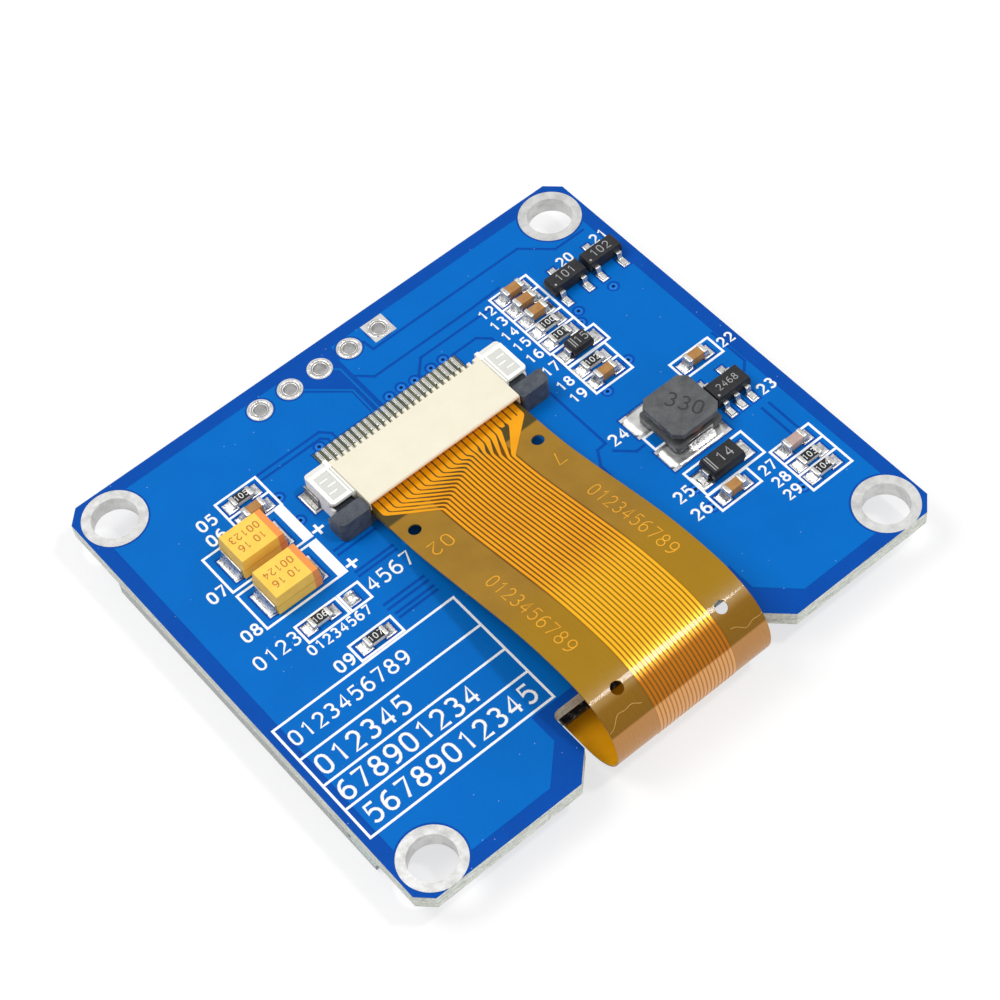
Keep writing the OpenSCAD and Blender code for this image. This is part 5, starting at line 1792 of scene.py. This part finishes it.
@dataclass
class Connector:
    """The slide-lock film connector: housing, grey slider, sprung contacts, hold-downs and solder."""

    repeat: Repeater
    solder: Solder
    mould_edge: float = 0.03
    slider_edge: float = 0.06
    tail_w: float = 0.2
    tail_t: float = 0.15
    toe: float = 0.16
    gate_x: float = 2.2
    gate_r: float = 0.35
    lip_t: float = 0.2
    funnel: float = 0.72
    block_x: tuple[float, float] = (6.6, 8.4)
    block_setback: float = 1.48
    block_lip: float = 0.3
    cavity: float = 0.5
    step_l: float = 0.5
    step_z: float = 4.55

    @property
    def block_front(self) -> float:
        """The end blocks' front faces."""
        return self.front + self.block_setback

    @property
    def front(self) -> float:
        """The housing's front edge."""
        return box_of("connector_housing")[0].y

    def tails(self) -> list[tuple[Vector, Vector]]:
        """The contacts' boxes, one each."""
        return [(low, high) for low, high, _ in islands("connector_contacts")]

    def tail_solder(self) -> None:
        """Makes the solder at the toe of every tail."""
        spots = []
        for low, high in self.tails():
            x = (low.x + high.x) / 2
            spots.append(Spot((x, high.y, low.z), 90.0, (self.toe, self.tail_w * 1.05, 0.12)))
        self.repeat.make("tail_solder", self.solder.fillet_shape(), spots, Look.SOLDER, Slot.SOLDER)

    def tail_grooves(self) -> None:
        """Makes a dark strip along each tail's top, painted as the shade in the drawn groove there."""
        shape = Builder()
        back = box_of("connector_housing")[1].y - 0.25
        for low, high in self.tails():
            x = (low.x + high.x) / 2
            top = low.z + self.tail_t
            shape.box((x - 0.03, back, top - 0.01), (x + 0.03, high.y - 0.06, top + 0.002))
        settle(shape.make("tail_grooves"), Look.GROOVE_SHADE)

    def gate_mark(self) -> None:
        """Makes the faint round mark where the plate was moulded."""
        low, high = box_of("connector_housing")
        mark = Builder()
        centre, r = (self.gate_x, (low.y + high.y) / 2 + 0.3), self.gate_r
        mark.turned([(0.001, -0.02), (r, -0.02), (r, 0.0), (r * 0.9, 0.006), (r * 0.6, 0.003),
                     (0.001, 0.004)], 28, centre)
        bmesh.ops.translate(mark.bm, vec=(0, 0, high.z), verts=mark.bm.verts)
        settle(smooth(mark.make("gate_mark"), 40), Look.CREAM)

    def moulding(self) -> None:
        """Makes the housing, with the funnel under its front lip that guides the film in."""
        low, high = box_of("connector_housing")
        film = box_of("circuit_board")[1].z + MOUTH_H
        half = box_of("flex_film")[1].x - 0.02
        shape = Builder()
        shape.copy("connector_housing")
        piece = shape.make("connector_moulding")
        wedge = Builder()
        lip, back = high.z - self.lip_t, low.y + self.funnel
        side = [(low.y - 0.4, lip), (low.y - 0.4, film), (back, film), (back, film + 0.12),
                (low.y + 0.16, lip)]
        wedge.along_x(side, -half, half)
        x0, x1 = self.block_x
        for sign in (-1, 1):
            wedge.box((min(sign * x0, sign * x1), self.block_front - 0.3, self.step_z),
                      (max(sign * x0, sign * x1), self.block_front + self.cavity, high.z - self.block_lip))
        cut_with(piece, wedge)
        soften(piece, self.mould_edge)
        settle(piece, Look.CREAM, stands_for=["connector_housing"])

    def lock_bar(self) -> None:
        """Makes the slider, with the low step behind each ear's top."""
        high = box_of("connector_slider")[1]
        shape = Builder()
        shape.copy("connector_slider")
        piece = shape.make("connector_lock_bar")
        step = Builder()
        back = self.block_front
        for sign in (-1, 1):
            inner, outer = sign * (box_of("flex_film")[1].x + 0.02), sign * (high.x + 0.2)
            step.box((min(inner, outer), back - self.step_l, self.step_z),
                     (max(inner, outer), back + 0.01, high.z + 0.2))
        cut_with(piece, step)
        soften(piece, self.slider_edge, 3)
        settle(piece, Look.GREY, Body.SLIDER, ["connector_slider"])

    def build(self) -> None:
        """Makes the connector."""
        self.moulding()
        self.lock_bar()
        softened("connector_contacts", "connector_springs", 0.035, Look.CONTACT)
        # The hold-downs take the darker tin as painted shade beside the end blocks.
        softened("connector_hold_downs", "connector_feet", 0.04, Look.FOOT)
        self.tail_solder()
        self.tail_grooves()
        self.gate_mark()


@dataclass
class Display:
    """The display panel behind the board: polarizer, glasses, seal, driver chip, resin and foam tape."""

    glass_edge: float = 0.03
    line_w: float = 0.05
    line_pitch: float = 0.11
    inset: float = 1.1

    def ledge_lines(self) -> None:
        """Makes the fine metal lines that fan out over the glass ledge from the driver chip to the seal."""
        chip_low, chip_high = box_of("driver_chip")
        cover_low, _ = box_of("cover_glass")
        _, glass_high = box_of("front_glass")
        low, high = glass_high.z - 0.002, glass_high.z + 0.006
        count = int((chip_high.x - chip_low.x - 0.4) / self.line_pitch)
        spread = (box_of("front_glass")[1].x - self.inset) / (chip_high.x - 0.2)
        lines = Builder()
        for i in range(count):
            x = chip_low.x + 0.2 + (i + 0.5) * self.line_pitch
            if abs(x) < 0.3 * chip_high.x:
                continue
            lines.bar((x, chip_high.y + 0.02), (x * spread, cover_low.y - 0.05), self.line_w, low, high)
        settle(lines.make("ledge_lines"), Look.LEDGE)

    def build(self) -> None:
        """Dresses the panel."""
        softened("front_glass", "front_pane", self.glass_edge, Look.GLASS)
        softened("polarizer", "front_polarizer", 0.03, Look.POLARIZER)
        softened("cover_glass", "back_pane", self.glass_edge, Look.GLASS)
        softened("driver_chip", "driver_die", 0.02, Look.SILICON)
        dress("emitting_layer", Look.EMITTER)
        dress("edge_seal", Look.SEAL)
        dress("desiccant_sheet", Look.DRYER)
        softened("flex_bond_resin", "bond_resin", 0.12, Look.RESIN, segments=3)
        dress("foam_tape", Look.FOAM)
        self.ledge_lines()


@dataclass
class FilmLoop:
    """The flexible film's loop from the connector over the board's edge to the glass, tracks and print."""

    bender: Bender
    connector_y: float
    width: float = 12.5
    film_t: float = 0.1
    copper_t: float = 0.02
    stiffener_t: float = 0.2
    mouth: float = 4.0
    flat: float = 6.2
    crown_r: float = 7.0
    crown_turn: float = 25.0
    shoulder_r: float = 3.4
    bend_step: float = 3.0
    pitch: float = 0.5
    fingers: int = 24
    finger_w: float = 0.4
    track_pitch: float = 0.3
    track_w: float = 0.19
    bundle_x: float = 0.2
    finger_show: float = 0.87
    fan_slope: float = 0.76
    right_slope: float = 2.35
    bundle_y: float = 1.3
    hole_r: float = 0.45
    front_holes: Spot2 = (5.18, 1.75)
    rear_holes: Spot2 = (4.22, 0.9)
    rounding: float = 0.13
    ledge: float = 0.8
    copper_from: float = 0.3
    copper_short: float = 0.4
    print_t: float = 0.012
    line: Piece = field(init=False)
    low: Vector = field(init=False)
    high: Vector = field(init=False)

    def __post_init__(self) -> None:
        """Takes the loop's reach and heights from the frame and works out its legs."""
        self.low, self.high = box_of("flex_film")
        half = self.film_t / 2
        self.start = self.high.y
        self.loop_y = self.low.y + half
        self.crown_z = self.high.z - half
        rise = self.crown_z - self.mouth_z
        turn = math.radians(self.crown_turn)
        bend_y = self.loop_y + self.shoulder_r * (1 - math.sin(turn)) + self.crown_r * math.sin(turn)
        run = self.start - self.mouth - bend_y
        climb_r = (run ** 2 + rise ** 2 - self.flat ** 2) / (4 * rise)
        climb = math.degrees(math.atan2(rise - 2 * climb_r, run) + math.atan2(2 * climb_r, self.flat))
        drop = self.crown_z - (self.low.z + half)
        under_r = drop - self.crown_r * (1 - math.cos(turn)) - self.shoulder_r * math.cos(turn)
        self.legs = [(0.0, self.mouth), (-climb, climb_r), (0.0, self.flat), (climb, climb_r),
                     (self.crown_turn, self.crown_r), (90.0 - self.crown_turn, self.shoulder_r),
                     (90.0, under_r), (0.0, self.tail_y - self.loop_y - under_r)]

    @property
    def mouth_z(self) -> float:
        """Height of the film's middle in the mouth."""
        return box_of("circuit_board")[1].z + MOUTH_H

    @property
    def tail_y(self) -> float:
        """Where the film ends on the glass."""
        return box_of("front_glass")[0].y + self.ledge

    def route(self) -> list[tuple[float, float, float]]:
        """The film's middle line, as y, z and distance, with points every few degrees."""
        y, z, heading, distance = self.start, self.mouth_z, 180.0, 0.0
        points = [(y, z, distance)]
        for turn, size in self.legs:
            if turn == 0.0:
                a = math.radians(heading)
                y, z, distance = y + size * math.cos(a), z + size * math.sin(a), distance + size
                points.append((y, z, distance))
                continue
            steps = math.ceil(abs(turn) / self.bend_step)
            part = math.radians(turn / steps)
            chord = 2 * size * math.sin(abs(part) / 2)
            for _ in range(steps):
                a = math.radians(heading) + part / 2
                y, z, distance = y + chord * math.cos(a), z + chord * math.sin(a), distance + chord
                heading += math.degrees(part)
                points.append((y, z, distance))
        return points

    def distance_at(self, y: float) -> float:
        """Distance along the film of a place above the board.

        Args:
            y: The place along Y, in front of the loop's crown.

        Returns:
            The distance from the film's end in the connector.
        """
        points = self.route()
        for (y0, _, d0), (y1, _, d1) in zip(points, points[1:]):
            if y1 <= y <= y0:
                return d0 + (d1 - d0) * (y0 - y) / (y0 - y1)
        return points[-1][2]

    @property
    def length(self) -> float:
        """The film's whole length."""
        return self.route()[-1][2]

    def route_object(self) -> Piece:
        """The route as a poly curve in metres."""
        curve = bpy.data.curves.new("film_route", "CURVE")
        curve.dimensions = "3D"
        add_chain(curve, [(0.0, y * MM, z * MM) for y, z, _ in self.route()])
        return link("film_route", curve)

    def hole_spots(self) -> list[Spot2]:
        """The tooling holes' middles, as across and distance."""
        (x0, y), (x1, share) = self.front_holes, self.rear_holes
        front = self.distance_at(y)
        rear = sum(self.leg_length(i) for i in range(4)) + share * self.leg_length(4)
        return [(-x0, front), (x0, front), (-x1, rear), (x1, rear)]

    def leg_length(self, index: int) -> float:
        """Length of one leg of the route, by its number."""
        turn, size = self.legs[index]
        return size if turn == 0.0 else math.radians(abs(turn)) * size

    def cut_for_bending(self, shape: Builder) -> None:
        """Cuts a flat shape across at every point of the route.

        Args:
            shape: The flat shape.
        """
        for _, _, distance in self.route()[1:-1]:
            faces = shape.bm.verts[:] + shape.bm.edges[:] + shape.bm.faces[:]
            bmesh.ops.bisect_plane(shape.bm, geom=faces, plane_co=(0, distance, 0), plane_no=(0, 1, 0),
                                   dist=1e-4)

    def bent(self, name: str, shape: Builder, finish: Finish) -> Piece:
        """Makes a flat shape into a piece bent round the loop.

        Args:
            name: The piece's name.
            shape: The flat shape.
            finish: The piece's finish.

        Returns:
            The piece.
        """
        self.cut_for_bending(shape)
        return self.bender.bend(shape.make(name), self.line, finish)

    def film(self) -> None:
        """Makes the film with its tooling holes."""
        curve = bpy.data.curves.new("film", "CURVE")
        curve.dimensions = "2D"
        curve.fill_mode = "BOTH"
        curve.extrude = self.film_t / 2
        half = self.width / 2
        outlines = [[(-half, 0), (half, 0), (half, self.length), (-half, self.length)]]
        for x, d in self.hole_spots():
            turns = [2 * math.pi * i / 28 for i in range(28)]
            outlines.append([(x + self.hole_r * math.cos(a), d + self.hole_r * math.sin(a)) for a in turns])
        for outline in outlines:
            add_chain(curve, [(x, d, 0.0) for x, d in outline], True)
        shape = Builder()
        shape.take(mesh_of(curve))
        bmesh.ops.remove_doubles(shape.bm, verts=shape.bm.verts, dist=1e-4)
        self.cut_for_bending(shape)
        inner = shape.bm.faces.layers.bool.new("inner")
        for face in shape.bm.faces:
            face[inner] = face.normal.z < -0.5
        piece = self.bender.bend(shape.make("film"), self.line, Look.FILM, Look.FILM_IN)
        layer = piece.data.attributes.get("inner")
        if layer:
            piece.data.attributes.remove(layer)
        settle(smooth(piece, 30), stands_for=["flex_film"])

    def eased(self, points: Chain, d: float) -> float:
        """Value of a chain of straight runs at a distance, with its corners eased.

        Args:
            points: Corners as distance and value.
            d: The distance.

        Returns:
            The value.
        """
        total = 0.0
        spread = (-1.0, -0.5, 0.0, 0.5, 1.0)
        for share in spread:
            total += self.straight(points, d + share * self.rounding)
        return total / len(spread)

    @staticmethod
    def straight(points: Chain, d: float) -> float:
        """Value of a chain of straight runs at a distance.

        Args:
            points: Corners as distance and value.
            d: The distance.

        Returns:
            The value.
        """
        if d <= points[0][0]:
            return points[0][1]
        for (d0, v0), (d1, v1) in zip(points, points[1:]):
            if d <= d1:
                return v0 + (v1 - v0) * (d - d0) / (d1 - d0)
        return points[-1][1]

    def ribbon(self, shape: Builder, left: Chain, right: Chain, d0: float, d1: float,
               step: float = 0.1) -> None:
        """Adds a flat strip between two edges.

        Args:
            shape: The builder.
            left: Its left edge, as distance and x.
            right: Its right edge.
            d0: Where it starts.
            d1: Where it ends.
            step: Distance between its rows of points where it isn't straight.
        """
        low, high = self.film_t / 2 - 0.002, self.film_t / 2 + self.copper_t
        fan0, fan1 = self.distance_at(self.connector_y), self.distance_at(self.bundle_y)
        count = math.ceil((fan1 - fan0) / step)
        stops = {d0, d1, *[d for _, _, d in self.route()], *[fan0 + step * i for i in range(count)]}
        rows = []
        for d in sorted(d for d in stops if d0 <= d <= d1):
            x0, x1 = self.eased(left, d), self.eased(right, d)
            rows.append(shape.ring(((x0, d, low), (x1, d, low), (x1, d, high), (x0, d, high))))
        for one, two in zip(rows, rows[1:]):
            shape.wall(one, two)
        shape.bm.faces.new(rows[0][::-1])
        shape.bm.faces.new(rows[-1])

    def finger_x(self, i: int) -> float:
        """Middle of a contact pad across the film."""
        return (i - (self.fingers - 1) / 2) * self.pitch

    def track_x(self, j: int) -> float:
        """Middle of a track in the bundle."""
        return self.bundle_x + (j - (self.tracks - 1) / 2) * self.track_pitch

    @property
    def tracks(self) -> int:
        """Number of tracks in the bundle."""
        return self.fingers - 3

    @property
    def fan_y(self) -> float:
        """Where the tracks start to fan in."""
        return self.connector_y - self.finger_show

    def knee_y(self, i: int) -> float:
        """Where a track joins the bundle.

        Args:
            i: The track's number.

        Returns:
            Its place along Y.
        """
        shift = self.track_x(i) - self.finger_x(i)
        return self.fan_y - (self.fan_slope * shift if shift > 0 else -self.right_slope * shift)

    def edges(self, i: int, side: int) -> list[Spot2]:
        """One edge of a track from its contact pad to the bundle.

        Args:
            i: The track's number.
            side: -1 for its left edge, 1 for its right edge.

        Returns:
            Corners as distance and x.
        """
        start, knee = self.distance_at(self.fan_y), self.distance_at(self.knee_y(i))
        a = self.finger_x(i) + side * self.finger_w / 2
        b = self.track_x(i) + side * self.track_w / 2
        return [(0.0, a), (start, a), (knee, b)]

    def copper(self) -> None:
        """Makes the contact pads, their fan into the bundle and the tracks round the loop."""
        shape = Builder()
        end = self.length - self.copper_short
        for i in range(self.tracks - 1):
            self.ribbon(shape, self.edges(i, -1), self.edges(i, 1), self.copper_from, end)
        self.wide_track(shape, end)
        self.blind_finger(shape)
        piece = shape.make("film_tracks", fix=True)
        nodes = [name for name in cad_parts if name.startswith("flex_tracks")]
        piece = self.bender.bend(piece, self.line, Look.COPPER)
        settle(smooth(piece, 30), stands_for=nodes)

    def blind_finger(self, shape: Builder) -> None:
        """Adds the contact pad that no track leaves, with its round end.

        Args:
            shape: The builder.
        """
        x, half = self.finger_x(self.tracks - 1), self.finger_w / 2
        stop = self.distance_at(self.fan_y + 0.16)
        ends = [(stop - half + half * math.sin(a), half * math.cos(a))
                for a in [math.radians(15 * i) for i in range(6)]]
        self.ribbon(shape, [(0.0, x - half)] + [(d, x - w) for d, w in ends],
                    [(0.0, x + half)] + [(d, x + w) for d, w in ends], self.copper_from, stop - 0.01, 0.02)

    def wide_track(self, shape: Builder, end: float) -> None:
        """Adds the last three contact pads, which run into one wide track that narrows to the bundle's last.

        Args:
            shape: The builder.
            end: Distance where the track ends.
        """
        last = self.tracks - 1
        half = self.finger_w / 2
        merge = self.distance_at(self.fan_y + 0.27)
        for i in range(self.fingers - 3, self.fingers):
            x = self.finger_x(i)
            self.ribbon(shape, [(0.0, x - half)], [(0.0, x + half)], self.copper_from, merge)
        x0, x1 = self.finger_x(self.fingers - 3) - half, self.finger_x(self.fingers - 1) + half
        to0, to1 = self.track_x(last) - self.track_w / 2, self.track_x(last) + self.track_w / 2
        at = self.distance_at
        self.ribbon(shape, [(0.0, x0), (at(self.fan_y), x0 + 0.04), (at(2.0), to0)],
                    [(0.0, x1), (at(self.fan_y + 0.03), x1), (at(1.8), to1)], merge - 0.001, end)

    def stiffener(self) -> None:
        """Makes the stiffening strip under the end in the connector."""
        shape = Builder()
        half = self.width / 2
        end = self.distance_at(box_of("flex_stiffener")[0].y)
        shape.box((-half, 0.0, -self.film_t / 2 - self.stiffener_t), (half, end, -self.film_t / 2 + 0.001))
        piece = self.bent("film_stiffener", shape, Look.STIFFENER)
        settle(piece, stands_for=["flex_stiffener"])

    def print(self) -> None:
        """Makes the film's plain numbers and the fine wavy edge of its cover layer."""
        low = self.film_t / 2 - 0.001
        shape = Builder()
        number_d = self.distance_at(-0.5)
        for words, x in (("02", -4.75), ("7", 5.05)):
            place_letters(shape, words, 1.1, self.print_t, (x, number_d, low), 0.0, 0.1, True)
        for words, x, y in (("0123456789", -4.55, -9.3), ("0123456789", 4.75, -8.2)):
            place_letters(shape, words, 0.95, self.print_t, (x, self.distance_at(y), low), -90.0, 0.1, True)
        settle(self.bent("film_numbers", shape, Look.FILM_INK))
        edge = Builder()
        start = self.hole_spots()[2][1] + 1.1
        line = [(x, start + 0.3 * math.sin(1.6 * x) + 0.08 * math.sin(5.3 * x + 1.0) + 0.02 * x * x)
                for x in [-6.2 + 0.1 * i for i in range(125)]]
        edge.path([p for p in line if p[0] < -3.4], 0.04, low, low + self.print_t)
        edge.path([p for p in line if p[0] > 3.9], 0.04, low, low + self.print_t)
        settle(self.bent("cover_layer_edge", edge, Look.FILM_EDGE))

    def build(self) -> None:
        """Makes the whole film."""
        self.line = self.route_object()
        self.film()
        self.copper()
        self.stiffener()
        self.print()
        bpy.data.objects.remove(self.line)


@dataclass
class Lamp:
    """A square soft lamp: where it stands, how wide it is and how strong."""

    name: str
    at: Point
    size: float
    power: float
    tint: Colour = WHITE


@dataclass
class Stage:
    """The pale floor, the soft lamps, the world and the camera."""

    drop: float = 0.02
    reach: float = 3000.0
    floor_tint: Colour = (0.93, 0.93, 0.93)
    floor_glow: float = 0.68
    world_power: float = 0.335
    lens: float = 94.56
    eye: Point = (-52.3198, -81.2041, 143.3183)
    right: Point = (0.76636662, -0.63724145, -0.08127442)
    down: Point = (-0.56192089, -0.60365276, -0.56555129)
    ahead: Point = (0.3113312, 0.47908943, -0.82069861)
    lamps: Sequence[Lamp] = (
        Lamp("key", (-120.0, 110.0, 270.0), 150.0, 0.545),
        Lamp("strip", (97.0, -97.0, 281.0), 30.0, 0.285),
        Lamp("fill", (240.0, -60.0, 160.0), 160.0, 0.14),
        Lamp("front", (-60.0, -250.0, 120.0), 160.0, 0.14))

    @staticmethod
    def seen_rays(tree: Tree) -> Socket:
        """Whether a ray comes from the camera, a mirror or glass.

        Args:
            tree: The node tree to add the test to.

        Returns:
            1 for those rays, 0 for all others.
        """
        rays = add_node(tree, "ShaderNodeLightPath").outputs
        seen = rays["Is Camera Ray"]
        for kind in ("Is Glossy Ray", "Is Transmission Ray"):
            seen = add_node(tree, "ShaderNodeMath", {0: seen, 1: rays[kind]}, operation="MAXIMUM").outputs[0]
        return seen

    def white(self, name: str, tint: Colour, share: float) -> bpy.types.Material:
        """A matt material that camera and mirror rays see partly self-lit.

        Args:
            name: The material's name.
            tint: Its colour.
            share: How much of it is self-lit for those rays.

        Returns:
            The material.
        """
        material = empty_material(name)
        tree = material.node_tree
        matt = add_node(tree, "ShaderNodeBsdfDiffuse", {"Color": tint})
        lit = add_node(tree, "ShaderNodeEmission", {"Color": WHITE})
        scale = add_node(tree, "ShaderNodeMath", {0: self.seen_rays(tree), 1: share}, operation="MULTIPLY")
        mix = add_node(tree, "ShaderNodeMixShader", {
            0: scale.outputs[0], 1: matt.outputs[0], 2: lit.outputs[0]})
        add_node(tree, "ShaderNodeOutputMaterial", {0: mix.outputs[0]})
        return material

    def floor(self) -> None:
        """Makes the floor under the module."""
        r = self.reach * MM
        z = -self.drop * MM
        mesh = bpy.data.meshes.new("floor")
        mesh.from_pydata([(-r, -r, z), (r, -r, z), (r, r, z), (-r, r, z)], [], [(0, 1, 2, 3)])
        piece = link("floor", mesh)
        mesh.materials.append(self.white("floor_paper", self.floor_tint, self.floor_glow))

    def world(self) -> None:
        """Lights the scene evenly; camera and mirror rays see plain white."""
        world = bpy.data.worlds.new("studio")
        world.use_nodes = True
        tree = world.node_tree
        back = tree.nodes["Background"]
        feed(back, "Color", WHITE)
        scale = add_node(tree, "ShaderNodeMapRange", {
            "Value": self.seen_rays(tree), "To Min": self.world_power, "To Max": 1.0})
        feed(back, "Strength", scale.outputs[0])
        bpy.context.scene.world = world

    def light(self) -> None:
        """Hangs the lamps, each turned to the module."""
        for lamp in self.lamps:
            data = bpy.data.lights.new(lamp.name, "AREA")
            data.size = lamp.size * MM
            data.energy = lamp.power
            data.color = lamp.tint
            holder = link(lamp.name, data)
            place = Vector(lamp.at) * MM
            holder.location = place
            holder.rotation_mode = "QUATERNION"
            holder.rotation_quaternion = (-place).to_track_quat("-Z", "Y")

    def camera(self) -> None:
        """Sets the camera."""
        data = bpy.data.cameras.new("camera")
        data.lens = self.lens
        data.sensor_width = 36.0
        data.clip_start, data.clip_end = 0.005, 10.0
        camera = link("camera", data)
        axes = Matrix((self.right, [-c for c in self.down], [-c for c in self.ahead])).transposed()
        camera.matrix_world = Matrix.Translation(Vector(self.eye) * MM) @ axes.to_4x4()
        bpy.context.scene.camera = camera

    def build(self) -> None:
        """Sets the whole stage."""
        self.floor()
        self.world()
        self.light()
        self.camera()
        bpy.context.scene.view_settings.view_transform = "Standard"


def main() -> None:
    """Builds the module and its stage."""
    logging.basicConfig(level=logging.INFO, format="%(message)s")
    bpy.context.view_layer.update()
    repeat = Repeater()
    board = Board(repeat)
    board.build()
    Silkscreen(board).build()
    solder = Solder(repeat)
    solder.build()
    ChipParts(repeat).build()
    Tantalums().build()
    SmallPackages().build()
    Inductor(repeat).build()
    connector = Connector(repeat, solder)
    connector.build()
    FilmLoop(Bender(), connector.front).build()
    Display().build()
    Stage().build()


if __name__ == "__main__":
    main()
